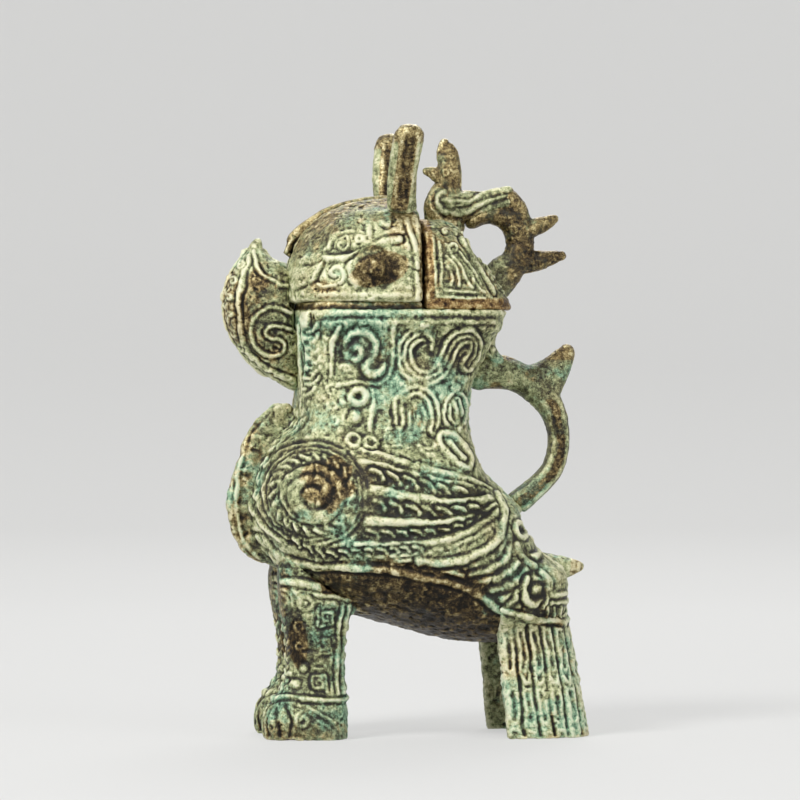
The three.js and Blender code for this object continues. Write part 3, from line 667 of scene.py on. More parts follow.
def body_relief(p, n):
    """Relief of belly and neck, mirrored on both sides."""
    x, y, z = p.T
    around_neck = n[:, 0] * x + n[:, 1] * (y + 4)
    spike = rump_beak(p, 6.6, 40.5, 53.5)
    outside = (np.where(z > 86, around_neck, outward(p, n, 0, 58)) > 0.5) | spike
    carved = outside & ~spike & (z < 116.6)
    side = side_weight(n, 0.12, 0.26)
    height, shade = on_flanks(p, n, body_side, 0.12, 0.26, carved)
    for draw, where, share in (
        (breast_scales, (n[:, 1] < -0.35) & (z > 34) & (z < 90), ease(2.5, 3.4, np.abs(x))),
        (neck_front, (n[:, 1] < -0.5) & (z >= 90), ease(115, 113, z)),
        (rump_mask, (n[:, 1] > 0.3) & (z > 27) & (z < 60), 1),
        (neck_back, (n[:, 1] > 0.5) & (z >= 66) & (y < 30), 1),
    ):
        on_middle(p, height, draw, carved & where, (1 - side) * share)
    height *= ease(27, 34, z)
    edge = np.flatnonzero((np.abs(n[:, 0]) > 0.7) & (np.abs(x) < 4.2) & (y < -30) & (z < 93))
    f = Relief(y[edge], z[edge])
    flange_relief(f)
    height[edge] = f.height + f.ground
    shade[edge] = f.shade
    notch = ease(0.3, 0.8, np.sin(z * 1.55)) * (y < -41) * (z > 50) * (z < 92)
    height -= 0.12 * notch * ease(-0.1, -0.5, n[:, 1]) * (np.abs(x) < 3.2)
    height[~outside] = 0
    # The downward-facing underside of the belly is painted darker as shade, and browner, less towards the
    # front and above the tail. The same mask roughens it.
    under = ease(0.15, -0.45, n[:, 2]) * ease(52, 46, z) * outside * ~spike
    under *= 0.5 + 0.5 * ease(-19, -8, y + 3 * noise(p, 5, 40))
    under *= 1 - 0.75 * ease(12, 24, y) * ease(31, 36, z + 1.5 * noise(p, 4, 41))
    height += under * (0.3 * noise(p, 2.4, 31) + 0.16 * noise(p, 1.1, 32))
    # sunk is the lip under the lid's edge. It is painted darker there as shade, and browner.
    sunk = ease(117.1, 117.6, z) * outside
    low = ease(9, 1, np.abs(z - 47.5 + 0.4 * np.abs(y + 8))) * side * (z < 47)
    bruise = np.hypot(y - COIL[0] - 4, z - COIL[1] - 2.4) + 1.6 * noise(p, 3, 36)
    bruise = ease(8.6, 5.6, bruise) * side
    worn = most(
        0.95 * bruise,
        0.95 * ease(44.5, 48, y),
        0.7 * under,
        0.5 * sunk,
        0.45 * (~outside),
        0.5 * ease(5, 2, np.hypot(y - 0.5, z - 88)) * side,
        0.6 * ease(3.2, 1.6, np.abs(x)) * (y < -40) * (z < 92),
    )
    # Darkening: the relief's dark grounds, painted shade on the lip under the lid, under the belly and on
    # the inner walls, a darker band just below the wing's lower border, and the brown patch by the coil.
    return height, worn, shade + 0.75 * sunk + 1.12 * under + 0.25 * low + 0.3 * (~outside) + 0.25 * bruise


def face_side(r):
    """Brow, cheek and the frame of the face, round the place of the eye."""
    r.path([(-28.2, 121.6), (1, 121.4)], LINE, 0.9, 0.5)
    r.path([(0.4, 120.5), (0, 134), (-0.6, 142)], LINE, 0.9, 0.6)
    r.stroke([
        (-24.6, 131.4), (-20.6, 131.4), (-16.6, 132), (-12.4, 133.8), (-8, 136.2), (-4.4, 136.6),
    ], BROAD, 0.9, 0.8)
    r.stroke([(-31.8, 129.6), (-28, 130), (-24.9, 131)], GROOVE)
    r.stroke([(-24.2, 130.4), (-25.7, 127.5), (-26.9, 125), (-31, 122.9)], GROOVE)
    r.stroke([(-15.4, 131.6), (-17.7, 129.8), (-18.1, 126.6), (-16.2, 123.9)], BROAD, 0.85)
    r.path(spiral((-21.6, 127.2), 0.5, 2.9, 0.95, 250, -1), FINE, 0.9)
    r.stroke([(-21.9, 124), (-24, 123.9), (-26, 124.6)], THIN)
    r.sink([(-19.8, 135.3)], 3.6, 0.35, 0.2, False)
    r.path(spiral((-19.8, 135.5), 0.4, 3.2, 1.2, 100, 1), THIN, 1, 0.9)
    r.pit((-28.4, 133), 1, 0.7)
    r.pit((-30.3, 126.2), 0.9, 0.6)
    r.stroke([
        (-29.4, 131.6), (-26.4, 132.6), (-23.6, 134.2), (-22.8, 136.6), (-20.4, 138.6), (-16.4, 138.9),
    ], FINE)
    r.stroke([
        (-31, 134.4), (-28.4, 137), (-24.4, 139.6), (-19.6, 141.6), (-13.6, 143.6), (-8, 144.6),
    ], LINE)
    r.path([(-16.6, 142.6), (-12.6, 142), (-12.4, 137.6)], LINE, 0.9)
    r.stroke([(-9.6, 142.6), (-7.4, 140.6), (-6.4, 143.4)], LINE, 0.9)
    r.stroke([(-1.8, 144.6), (-1.2, 139), (0.2, 133.4), (0.4, 129)], BROAD, 0.7)
    r.fill((-31, 134), (-9, 139.6), 3, 21, THIN, 0.6)


def head_relief(p, n):
    """The face, a sunk eye with a ball in it, and the dome with its low crest."""
    x, y, z = p.T
    outside = (outward(p, n, -10, 124) > 0.5) & (z > 119.3)
    height, _ = on_flanks(p, n, face_side, 0.25, 0.42, outside)
    eye = np.hypot(y - EYE[0], z - EYE[1])
    lens = side_weight(n, 0.35, 0.55)
    ball = np.interp(eye, [0, 2, 3, 4.2, 5.6, 7], [-0.5, -0.7, -1.1, -0.9, -0.6, 0])
    part = ease(7.2, 6, eye) * lens * outside
    height = height * (1 - part) + ball * part
    top = np.flatnonzero(outside & (n[:, 2] > 0.4) & (np.abs(x) > 1.8))
    t = Relief(np.abs(x[top]), y[top])
    t.path([(3.6, -34), (3.6, 2)], LINE)
    t.path(spiral((9.2, -17), 0.5, 3.8, 1.5, 0), LINE)
    t.path(spiral((8.6, -8.6), 0.5, 3.2, 1.4, 180, -1), LINE)
    t.path(spiral((7.2, -25.2), 0.5, 3, 1.4, 90), LINE)
    height[top] += 0.3 * t.height * (1 - side_weight(n[top], 0.25, 0.42))
    height[~outside] = 0
    crest = ease(2.8, 1.6, np.abs(x)) * outside
    height -= 2.4 * crest * ease(138.5, 133, z) * ease(-0.1, -0.4, n[:, 1])
    along = (y + 10.4) * 0.96 + (z - 128.2) * 0.28
    aside = (z - 128.2) * 0.96 - (y + 10.4) * 0.28
    patch = np.hypot(along / 1.75, aside) + 0.5 * noise(p, 2.5, 33)
    tan = ease(4.2, 2, np.hypot((y + 24.6) / 1.2, z - 123))
    root = ease(6.5, 3, np.hypot(y + 3.4, (z - 142) / 1.5) + 1.2 * noise(p, 3, 37))
    shade = 0.25 * ease(5, 3, patch) * lens * outside
    shade += 0.3 * ease(5, 2.5, np.hypot(y + 1.8, (z - 128) / 1.4)) * outside
    rim = np.abs(n[:, 0]) + 0.1 * noise(p, 4, 38)
    dark_top = ease(0.8, 0.6, rim) * ease(0, 0.1, rim) * ease(128, 134, z) * outside
    height *= 1 - 0.85 * dark_top * (1 - crest)
    worn = most(
        1.1 * ease(5.2, 3.8, patch) * lens * outside,
        0.55 * ease(0.2, 1.2, y),
        0.6 * tan * outside,
        0.75 * root * outside,
        0.5 * crest * ease(130, 134, z),
        0.3 * dark_top,
    )
    return height, worn, shade + most(0.55 * crest * ease(130, 134, z), 0.6 * dark_top)


def beak_side(r):
    """A rim, a large scroll, and a row of small curls along the edge."""
    band = [
        (-42.3, 135.4), (-44, 131.8), (-45.4, 127.2), (-46.6, 122.5), (-46.9, 117.9), (-46.4, 112.1),
        (-44.8, 107), (-41.3, 103.2), (-37.2, 100.6), (-31.8, 98.2),
    ]
    r.stroke(band, LINE, 0.9)
    r.stroke([(-42.6, 134), (-41.9, 129.6), (-39.4, 126.6), (-35.2, 124.6), (-31, 123.8)], FINE)
    c_spiral = [
        (-31.5, 116.2), (-36.8, 118.2), (-40.7, 117.3), (-43.2, 114), (-43.4, 110.1), (-41.5, 106.6),
        (-38, 104.9), (-35, 105.6), (-34.1, 107.9), (-35.8, 109.6), (-38.2, 109.7), (-39.7, 111.2),
        (-38.4, 113), (-35.4, 113.2), (-32, 112.2),
    ]
    r.stroke(c_spiral, FINE, 1.05)
    r.pit((-37.2, 111.4), 0.8, 0.5)
    r.pit((-36.8, 107.2), 1, 0.6)
    edge = [
        (-46.3, 130), (-48.3, 125.6), (-49.2, 121), (-49.3, 116.3), (-48.6, 111.4), (-46.6, 106.6),
        (-43, 102.2), (-38, 99),
    ]
    for k, mark in enumerate(edge):
        r.curl(mark, 1.2, 80 + 60 * k, 1, THIN)


def beak_front(f):
    f.path([(5.6, 98), (6.6, 112), (6.4, 128)], LINE)
    f.path([(0, 100), (0, 134)], BROAD, 0.8)
    for row in np.arange(102, 132, 4):
        f.path([(1.6, row + 1.4), (3.4, row), (5, row + 1.4)], FINE)


def beak_relief(p, n):
    x, y, z = p.T
    height, _ = on_flanks(p, n, beak_side, 0.2, 0.4)
    on_middle(p, height, beak_front, np.abs(n[:, 0]) < 0.6, 1 - side_weight(n, 0.2, 0.45))
    inner = np.hypot((y + 27) / 1.05, z - 116)
    field = ease(20.6, 19, inner) * side_weight(n)
    worn = most(
        0.2 * field + 0.6 * ease(-44.6, -47.2, y + 0.3 * np.abs(z - 116) - 2),
        0.75 * ease(4.5, 1.5, np.hypot(y + 41.6, z - 125.6)),
    )
    return height, worn, 0.36 * field


def thigh(both):
    """The back of the leg's top, which runs into the belly."""
    hand = 1 if sum(v.co.x for v in both.verts) > 0 else -1
    lump(both, (hand * 15.4, -18.4, 38.6), (4.2, 3.4, 5.2))
    lump(both, (hand * 15.8, -16.6, 41), (4, 3.6, 3.8))


def leg_side(r):
    """A cuff at the top, scrolls and rings down the shank, and the claws."""
    r.stroke([(-39.4, 43.4), (-32.7, 43.2), (-25.3, 42), (-16, 40.4)], BROAD, 0.9)
    r.stroke([(-34, 40.6), (-25, 39.7), (-17, 38)], LINE, 0.8)
    r.sink([(-33.4, 33), (-31, 27), (-30, 22)], 3.6, 0.45, 0.1)
    for size in (1.1, 2.4, 3.7):
        r.path(ring((-36.9, 37.6), size), THIN, 1.15)
    r.path(ring((-29.8, 37.6), 1.9), FINE, 1.1)
    r.dot((-29.8, 37.6), 0.5)
    for middle, size, turn in (((-24, 33.4), 3.4, 0), ((-24.9, 25.6), 3.1, 90), ((-26, 15.6), 3.3, 180)):
        r.sink([middle], size + 1, 0.2, 0.1, False)
        r.path(spiral(middle, 0.5, size, 1.75, 45 + turn, -1, 8), FINE, 0.9)
    r.path(ring((-31.6, 31), 1.3), THIN)
    r.curl((-31.4, 26), 1.7, 40, 1, THIN)
    r.dot((-30.3, 19.8), 1)
    r.dot((-32.4, 15.2), 1.2)
    r.stroke([(-19.8, 37), (-20.5, 29), (-20.9, 21.7), (-20.9, 15.1), (-20.7, 11.6)], LINE, 0.75)
    r.stroke([(-18, 36.6), (-18.7, 29), (-19.1, 21.7), (-19, 15.1), (-18.7, 11.6)], LINE, 0.7)
    r.stroke([(-40.4, 10.4), (-36, 11.8), (-30, 11.2), (-18, 10.8)], LINE, 0.85)
    r.path(spiral((-30.6, 5.6), 0.5, 2.4, 1.2, 180, -1), FINE, 1, 0.8)
    r.stroke([(-35, 9.4), (-33.9, 6), (-34.2, 1)], GROOVE, 0.9)
    r.stroke([(-37.4, 8.9), (-37.6, 5.4), (-37, 1)], GROOVE, 1.1)
    r.stroke([(-40.2, 7.4), (-40.4, 4.4), (-39.8, 1)], GROOVE)
    r.stroke([(-27.8, 8.6), (-24.4, 6.6), (-21.6, 4.4)], THIN)
    r.stroke([(-26.6, 5.8), (-23.8, 4.2), (-21.6, 2.2)], THIN)
    r.fill((-34, 12), (-21, 40), 2.8, 41, THIN, 0.5)


LEG_MIDDLE = 12.2


def leg_relief(p, n):
    x, y, z = p.T
    height, shade = on_flanks(p, n, leg_side, 0.25, 0.45, share=0.75)
    ahead = np.flatnonzero((np.abs(n[:, 0]) < 0.62) & (z < 36))
    f = Relief(np.abs(x[ahead]) - LEG_MIDDLE, z[ahead])
    for lane in (-4.6, -1.5, 1.5, 4.6):
        f.path([(lane, 0), (lane, 9.6)], GROOVE, 1.15, 1.3)
    f.path([(-8, 11.2), (8, 11.2)], LINE)
    for row in np.arange(14, 34, 4):
        wave = [(-4.4, row + 1.6), (-2, row - 0.4), (0, row + 1.2), (2, row - 0.4), (4.4, row + 1.6)]
        f.stroke(wave, FINE)
    height[ahead] += f.height * (1 - side_weight(n[ahead], 0.3, 0.55))
    top = np.flatnonzero((n[:, 2] > 0.3) & (z < 15) & (z > 5))
    lanes = np.abs(x[top]) - LEG_MIDDLE
    height[top] -= 0.7 * ease(0.75, 0.2, np.abs(np.abs(lanes) - 2.9)) * ease(0.3, 0.6, n[top, 2])
    height[z < 0.9] = -0.1
    # A ragged band along the leg's seam with the belly at the back is painted darker as shade, and browner,
    # and its relief is lowered.
    seam = z - 45 + 0.55 * (y + 27.5) + 1.3 * noise(p, 3, 42)
    rear_top = ease(-3.6, -0.6, seam) * ease(-31, -27, y)
    height *= 1 - 0.6 * rear_top
    worn = most(
        0.75 * ease(4.6, 2, np.hypot((y + 31.8) / 0.8, (z - 27) / 1.9)),
        0.5 * ease(-33, -35.5, y) * ease(14, 18, z),
        0.4 * ease(9, 4, z),
        0.7 * rear_top,
    )
    # The top of the leg, under the belly, is painted darker as shade.
    return height, worn, shade + most(0.3 * ease(40, 47, z), 0.9 * rear_top)


TAIL_LINE = [(21, 36.4), (22.4, 35.9), (28.2, 34.1), (33.9, 32.4), (41.2, 31.8), (60, 31.8)]


def tail_root(both):
    """The upper part of the tail's flanks, which flares out over the belly up to the line."""
    rows, columns = 12, 7
    stations = [24, 32, 35, 38, 41, 43]
    wide = {
        "wall": [21.1, 20.8, 20.3, 19.4, 17.6, 15],
        "low": [20.7, 19, 17.1, 12.2, 6, 0],
        "high": [26, 24.3, 23.3, 21.8, 19.3, 14.1],
    }
    foot = 25.5
    thick = 3.4
    for hand in (-1, 1):
        outer = []
        inner = []
        for y in np.linspace(23.2, 43, rows):
            top = np.interp(y, *zip(*TAIL_LINE)) + 1.7
            wall, low, high = (np.interp(y, stations, values) for values in wide.values())
            outer.append([])
            inner.append([])
            for z in np.linspace(foot, top, columns):
                belly = low + (high - low) * math.sin(0.5 * math.pi * min(max((z - 29.6) / 6.4, 0), 1))
                skin = max(wall, belly + np.interp(top - z, [0, 1.4], [-0.5, 0.5]))
                back = y + 0.3 - 0.05 * (z - foot)
                outer[-1].append(both.verts.new((hand * skin, back, z)))
                inner[-1].append(both.verts.new((hand * (skin - thick), back, z)))
        for sheet, out in ((outer, hand > 0), (inner, hand < 0)):
            for a, b in zip(sheet, sheet[1:]):
                for k in range(columns - 1):
                    corners = [a[k], b[k], b[k + 1], a[k + 1]]
                    both.faces.new(corners if out else corners[::-1])
        around = [(i, 0) for i in range(rows)]
        around += [(rows - 1, k) for k in range(1, columns)]
        around += [(i, columns - 1) for i in range(rows - 2, -1, -1)]
        around += [(0, k) for k in range(columns - 2, 0, -1)]
        for (i, k), (m, j) in zip(around, around[1:] + around[:1]):
            corners = [outer[i][k], inner[i][k], inner[m][j], outer[m][j]]
            both.faces.new(corners if hand > 0 else corners[::-1])


def tail_relief(p, n):
    """Long feathers side by side, laid out along the way round the trough."""
    height = np.zeros(len(p))
    x, y, z = p.T
    share = z / 38
    front = 25.8 - 3.2 * share
    back = 50.5 - 6.6 * share
    half = 22 - 1.5 * share
    bulge = (np.abs(x) / half) ** 3.4 + np.clip((y - front) / (back - front), 0, 2) ** 3.4
    outer = bulge > 0.74
    beside = np.abs(n[:, 0]) > 0.3
    across = np.where(beside, 25 * (y - front) / (back - front), 22 * np.abs(x) / half)
    top = np.interp(y, *zip(*TAIL_LINE))
    blade = ([0, 0.5, 0.9, 1.2, 1.6], [-0.4, -0.25, 0.2, 0.26, 0.1])
    rib = ([0, 0.25, 0.5, 0.75, 1.1], [-0.85, -0.65, -0.2, 0.05, 0.1])
    for flank, lanes in (
        (True, [0.1, 4.6, 8.9, 13.2, 17.5, 21.8, 26.2]),
        (False, [0, 4.5, 8.9, 13.3, 17.7, 22]),
    ):
        chosen = np.flatnonzero(outer & (z < 40) & (beside == flank))
        r = Relief(across[chosen], z[chosen])
        for left, right in zip(lanes, lanes[1:]):
            middle = (left + right) / 2
            for low, high in ((19.6, 29), (5.4, 12.6)):
                slim = [(middle, low), (middle + 0.3, low + 3), (middle + 0.2, high - 3), (middle, high)]
                r.stroke(slim, blade)
            if left > 1:
                wave = [(left + 0.5, 17.8), (middle - 0.6, 15.6), (middle + 0.7, 15.4), (right - 0.5, 17.6)]
                r.stroke(wave, FINE, 1.1)
            r.path([(middle - 0.9, 2.6), (middle + 0.9, 2)], THIN)
        for lane in lanes[1:-1]:
            r.path([(lane, -1), (lane, 38)], rib)
        above = z[chosen] - top[chosen] + 0.5 * noise(p[chosen], 3, 39)
        line = np.interp(np.abs(above), [0, 0.5, 0.9, 1.4, 2], [0.35, 0.25, -0.15, -0.45, 0])
        height[chosen] = (r.height + r.ground) * ease(0.6, -0.2, above)
        height[chosen] += (line - height[chosen]) * ease(1.9, 1.5, np.abs(above))
    height[z < 0.7] = -0.1
    worn = 0.3 * ease(2, 0.4, z) + 0.4 * ease(0.1, 0.6, noise(p, 6, 34))
    # rim is painted shade in a noisy band along the top line, where the tail meets the belly. The inner
    # faces of the trough are painted darker as shade.
    rim = ease(2.4, 1, np.abs(z - top)) * (0.35 + 0.9 * noise(p, 2.6, 43))
    return height, worn, 0.2 * (~outer) + rim


def handle_relief(p, n):
    """A channel along each flank, between two low ribs."""
    x, y, z = p.T
    flank = ease(0.35, 0.6, np.abs(n[:, 0]))
    line = curve([(22.5, 100.8), (27.5, 100.8), (32.9, 98.5), (37.8, 95), (41.1, 90.6), (43.1, 83.8),
                  (42.6, 77), (40.6, 72.5), (36, 67.8), (31.8, 64.4), (27.8, 61.7)])
    r = Relief(y, z)
    near, far = r.distance(line, 2.8)
    height = np.zeros(len(p))
    height[near] = np.interp(far, [0, 0.8, 1.3, 1.8, 2.4, 2.8], [-0.12, -0.1, 0.05, 0.3, 0.2, 0])
    middle = np.zeros(len(p))
    middle[near] = ease(1.4, 0.8, far)
    lower = ease(97, 91, z)
    worn = most(
        0.6 * middle * flank * lower,
        ease(102.5, 105.5, z),
        0.5 * ease(0.2, 0.6, noise(p, 5, 35)),
    )
    return height * flank * lower, worn, 0.1 * middle * flank * lower


def lid_side(r):
    """A border, and plumes that fan out from the top."""
    border = [(5, 137.6), (5.4, 128.4), (5.7, 123.4), (7, 121.1), (11, 120.7), (19, 120.6)]
    r.stroke(border, THIN, 1.2)
    r.stroke([(6.8, 136), (7, 128.4), (7.6, 124), (9.4, 122.6), (16.6, 122.2)], THIN)
    r.stroke([(13.4, 137.2), (16.4, 132.6), (19.6, 127.4), (22.2, 122.4)], FINE, 1.1)
    for plume in (
        [(8.6, 135.4), (9.3, 132.6), (11.4, 131), (13.4, 128.6), (14.1, 125.4), (15.6, 123.4)],
        [(8.4, 131.8), (9.8, 130.6), (11.6, 128.6), (12.2, 125.6), (12, 123.8)],
        [(8.5, 129), (9.6, 128.2), (10.3, 126), (10, 123.9)],
        [(12.6, 133.4), (15, 130.4), (16.8, 127.4), (18.2, 124.6)],
        [(15.9, 126), (17.6, 123.6), (19.4, 122.4)],
    ):
        r.stroke(plume, THIN)
    r.path(spiral((10.9, 134.2), 0.4, 1.7, 1.1, 200), THIN)
    r.fill((8, 122), (24, 141), 2.4, 51, THIN, 0.5)


def lid_relief(p, n):
    x, y, z = p.T
    outside = (outward(p, n, 8, 124) > 0.5) & (z > 118) & (y > 3.6)
    height, _ = on_flanks(p, n, lid_side, 0.25, 0.42, outside)
    rear = np.flatnonzero(outside & (np.abs(n[:, 0]) < 0.6) & (y > 8))
    f = Relief(np.abs(x[rear]), y[rear] + 143 - z[rear])
    f.path([(4.4, 8), (4.8, 48)], LINE)
    f.path(spiral((10, 24), 0.5, 4.2, 1.5, 0), LINE)
    f.path(spiral((11.2, 36), 0.5, 4.2, 1.5, 180, -1), LINE)
    f.fill((5, 10), (20, 48), 3, 53)
    height[rear] += f.height * (1 - side_weight(n[rear], 0.25, 0.42))
    height[~outside] = 0
    # The inner faces are painted darker as shade, and browner.
    worn = most(0.9 * ease(5.6, 4.6, y), 0.85 * ease(121, 119.8, z)) + 0.45 * (~outside) + 0.12
    return height, worn, 0.12 + 0.3 * (~outside)


def bird_side(r):
    wing = [
        (10.6, 150.6), (9, 149.4), (8.7, 147.2), (10.2, 145.3), (13.4, 144.3), (17.4, 144.9),
        (20, 146.9), (23.6, 148.4), (28, 150.6),
    ]
    r.stroke(wing, FINE, 1.5)
    r.stroke([
        (10.4, 148.4), (13.6, 147.9), (17, 147.9), (20.6, 149.4), (24.6, 150.8), (28.8, 151.7),
    ], FINE, 1.3)
    r.stroke([(12.4, 146), (16.4, 146.2), (20, 148.2), (26, 150)], HAIR, 1.2)
    r.path(ring((11.3, 155.6), 0.9), THIN, 0.8, 0.8)


def bird_relief(p, n):
    x, y, z = p.T
    height, _ = on_flanks(p, n, bird_side, 0.2, 0.42, share=0.9)
    flank = side_weight(n, 0.2, 0.45)
    on_wing = ease(4.6, 2.6, np.abs(z - 147.9 - 0.25 * np.clip(y - 18, 0, 20))) * ease(7, 9, y) * flank
    worn = 0.56 - 0.28 * on_wing + 0.3 * ease(160, 163, z)
    return height, worn, 0.16 - 0.06 * on_wing


def dragon_side(r):
    r.path(spiral((30.1, 139.5), 0.3, 1.5, 1.1, 90), THIN, 1, 0.8)
    r.stroke([(33.4, 133.6), (36, 132.4), (38.4, 132.6)], HAIR, 1, 0.6)


def dragon_relief(p, n):
    x, y, z = p.T
    height, _ = on_flanks(p, n, dragon_side, 0.3, 0.55, share=0.8)
    worn = 0.6 + 0.35 * ease(40, 43.5, y) - 0.35 * ease(31, 27, y) * ease(136, 132, z)
    return height, worn, 0.4 * np.ones(len(p))


def horn_relief(p, n):
    """A blade with a channel down each flank."""
    x, y, z = p.T
    flank = ease(0.3, 0.6, np.abs(n[:, 0]))
    lean = -2.1 + 0.085 * (z - 146)
    far = np.abs(y - lean + 0.9)
    channel = np.interp(far, [0, 1.1, 1.7, 2.2, 3], [-0.3, -0.3, 0.1, 0.3, 0.1])
    height = channel * flank * ease(145, 147.5, z) * ease(165.8, 163, z)
    inside = ease(2.7, 1.8, np.abs(y - lean + 1.5)) * flank
    worn = 0.2 + 0.75 * inside * ease(143, 147, z) + 0.8 * ease(162, 164.6, z)
    return height, worn, 0.28 * inside * ease(165, 161, z)


# Patina


def linear(red, green, blue):
    """A colour given in display values from 0 to 255."""
    shown = [c / 255.0 for c in (red, green, blue)]
    return tuple(c / 12.92 if c <= 0.04045 else ((c + 0.055) / 1.055) ** 2.4 for c in shown) + (1.0,)


class Nodes:
    """A material under construction."""

    def __init__(self, name):
        self.material = bpy.data.materials.new(name)
        self.material.use_nodes = True
        self.tree = self.material.node_tree
        self.tree.nodes.clear()
        self.place = self.add("ShaderNodeTexCoord").outputs["Object"]

    def add(self, kind, inputs=None, **settings):
        """A node with its settings. Each input is a plain value or another node's output."""
        node = self.tree.nodes.new(kind)
        for key, value in settings.items():
            setattr(node, key, value)
        for key, value in (inputs or {}).items():
            if isinstance(value, bpy.types.NodeSocket):
                self.tree.links.new(value, node.inputs[key])
            else:
                node.inputs[key].default_value = value
        return node

    def attribute(self, name):
        return self.add("ShaderNodeAttribute", attribute_name=name).outputs["Fac"]

    def noise(self, size_mm, detail=3.0, rough=0.6, shift=0.0):
        """Noise around 0 that stays mostly between -0.3 and 0.3."""
        inputs = {"Vector": self.place, "W": shift, "Scale": MM / size_mm}
        inputs.update({"Detail": detail, "Roughness": rough})
        node = self.add("ShaderNodeTexNoise", inputs, noise_dimensions="4D")
        return self.math("SUBTRACT", node.outputs["Fac"], 0.5)

    def math(self, operation, a, b=0.0, c=0.0):
        return self.add("ShaderNodeMath", {0: a, 1: b, 2: c}, operation=operation).outputs[0]

    def total(self, start, *terms):
        """start plus each (value, share) pair."""
        for value, share in terms:
            start = self.math("MULTIPLY_ADD", value, share, start)
        return start

    def step(self, value, low, high):
        """0 below low, 1 above high, and a smooth step between."""
        inputs = {"Value": value, "From Min": low, "From Max": high}
        return self.add("ShaderNodeMapRange", inputs, interpolation_type="SMOOTHSTEP").outputs["Result"]

    def mix(self, share, a, b):
        return self.add("ShaderNodeMix", {0: share, 6: a, 7: b}, data_type="RGBA").outputs[2]

    def ramp(self, value, stops):
        node = self.add("ShaderNodeValToRGB", {"Fac": value})
        points = node.color_ramp.elements
        while len(points) < len(stops):
            points.new(0.5)
        for point, (place, colour) in zip(points, stops):
            point.position = place
            point.color = linear(*colour)
        return node.outputs["Color"]


CREAM_RAMP = [
    (0.0, (22, 19, 11)), (0.18, (46, 42, 25)), (0.34, (90, 90, 58)), (0.5, (136, 144, 102)),
    (0.64, (176, 181, 134)), (0.82, (212, 213, 168)), (1.0, (238, 236, 204)),
]
GREEN_RAMP = [
    (0.0, (17, 21, 14)), (0.2, (38, 54, 38)), (0.36, (70, 104, 82)), (0.52, (104, 152, 126)),
    (0.7, (148, 190, 160)), (0.86, (190, 216, 180)), (1.0, (226, 236, 206)),
]
BROWN_RAMP = [
    (0.0, (17, 13, 7)), (0.22, (46, 35, 20)), (0.42, (88, 70, 42)), (0.6, (134, 114, 72)),
    (0.78, (180, 164, 116)), (1.0, (226, 216, 176)),
]
RUST_RAMP = [
    (0.0, (24, 14, 8)), (0.25, (66, 44, 24)), (0.45, (114, 82, 44)), (0.65, (164, 134, 84)),
    (0.82, (198, 176, 122)), (1.0, (226, 212, 168)),
]
CHALK = linear(206, 204, 164)
BUMP_STRENGTH = 0.9
BUMP_DEPTH = 0.0003


def patina(name, pale=0.0, green=0.0, brown=0.0, rust=False, shine=0.08, shift=0.0):
    """Bronze under a patina.

    The numbers push it paler, greener or browner than the plain one, and shine smooths bare metal.
    """
    m = Nodes(name)
    # rise holds the height of the relief and also the painted shade from the pieces, so shaded places come
    # out darker.
    rise = m.attribute("rise")
    edge = m.math("SUBTRACT", m.attribute("edge"), 0.5)
    worn = m.attribute("worn")
    broad = m.noise(30.0, 2.0, 0.5, shift)
    patch = m.noise(9.0, 5.0, 0.62, shift + 3.0)
    mottle = m.noise(3.2, 5.0, 0.7, shift + 7.0)
    speck = m.noise(0.9, 4.0, 0.75, shift + 11.0)
    fine = m.noise(0.38, 3.0, 0.7, shift + 13.0)
    pits = m.step(m.total(m.noise(0.6, 2.0, 0.6, shift + 17.0), (mottle, 0.35)), 0.13, 0.2)
    value = m.total(0.13 + pale, (rise, 0.82), (mottle, 1.65), (speck, 1.35), (fine, 0.9), (broad, 0.5))
    value = m.total(value, (edge, 0.35), (pits, -0.3))
    cream = m.ramp(value, CREAM_RAMP)
    verdigris = m.ramp(value, GREEN_RAMP)
    bare = m.ramp(m.total(value, (edge, 0.3)), BROWN_RAMP)
    greener = m.total(green - 0.02, (patch, 1.1), (broad, 0.6), (speck, 0.4), (rise, 0.05))
    colour = m.mix(m.math("MULTIPLY", m.step(greener, -0.02, 0.14), 0.8), cream, verdigris)
    warm = m.step(m.total(m.noise(12.0, 4.0, 0.6, shift + 21.0), (speck, 0.3)), 0.0, 0.14)
    tan = m.ramp(m.math("ADD", value, 0.08), BROWN_RAMP)
    colour = m.mix(m.math("MULTIPLY", warm, 0.4), colour, tan)
    rubbed = m.total(brown - 0.08, (worn, 0.6), (patch, -0.9), (mottle, 0.9), (speck, 0.5), (rise, -0.32))
    rubbed = m.step(rubbed, -0.05, 0.14)
    if rust:
        bare = m.mix(m.step(worn, 0.35, 0.6), bare, m.ramp(value, RUST_RAMP))
    colour = m.mix(m.math("MULTIPLY", rubbed, 0.92), colour, bare)
    chalk = m.step(m.total(m.noise(0.42, 2.0, 0.6, shift + 19.0), (mottle, 0.4), (rise, 0.06)), 0.19, 0.27)
    colour = m.mix(m.math("MULTIPLY", chalk, 0.55), colour, CHALK)
    bump = m.add("ShaderNodeBump", {
        "Strength": BUMP_STRENGTH,
        "Distance": BUMP_DEPTH,
        "Height": m.total(speck, (fine, 0.6), (pits, -0.4)),
    })
    shader = m.add("ShaderNodeBsdfPrincipled", {
        "Base Color": colour,
        "Metallic": m.math("MULTIPLY_ADD", rubbed, 0.45, 0.2),
        "Roughness": m.total(0.45, (rubbed, -shine), (speck, 0.6), (pits, 0.25)),
        "Specular IOR Level": 0.5,
        "Normal": bump.outputs["Normal"],
    })
    m.add("ShaderNodeOutputMaterial", {"Surface": shader.outputs["BSDF"]})
    return m.material


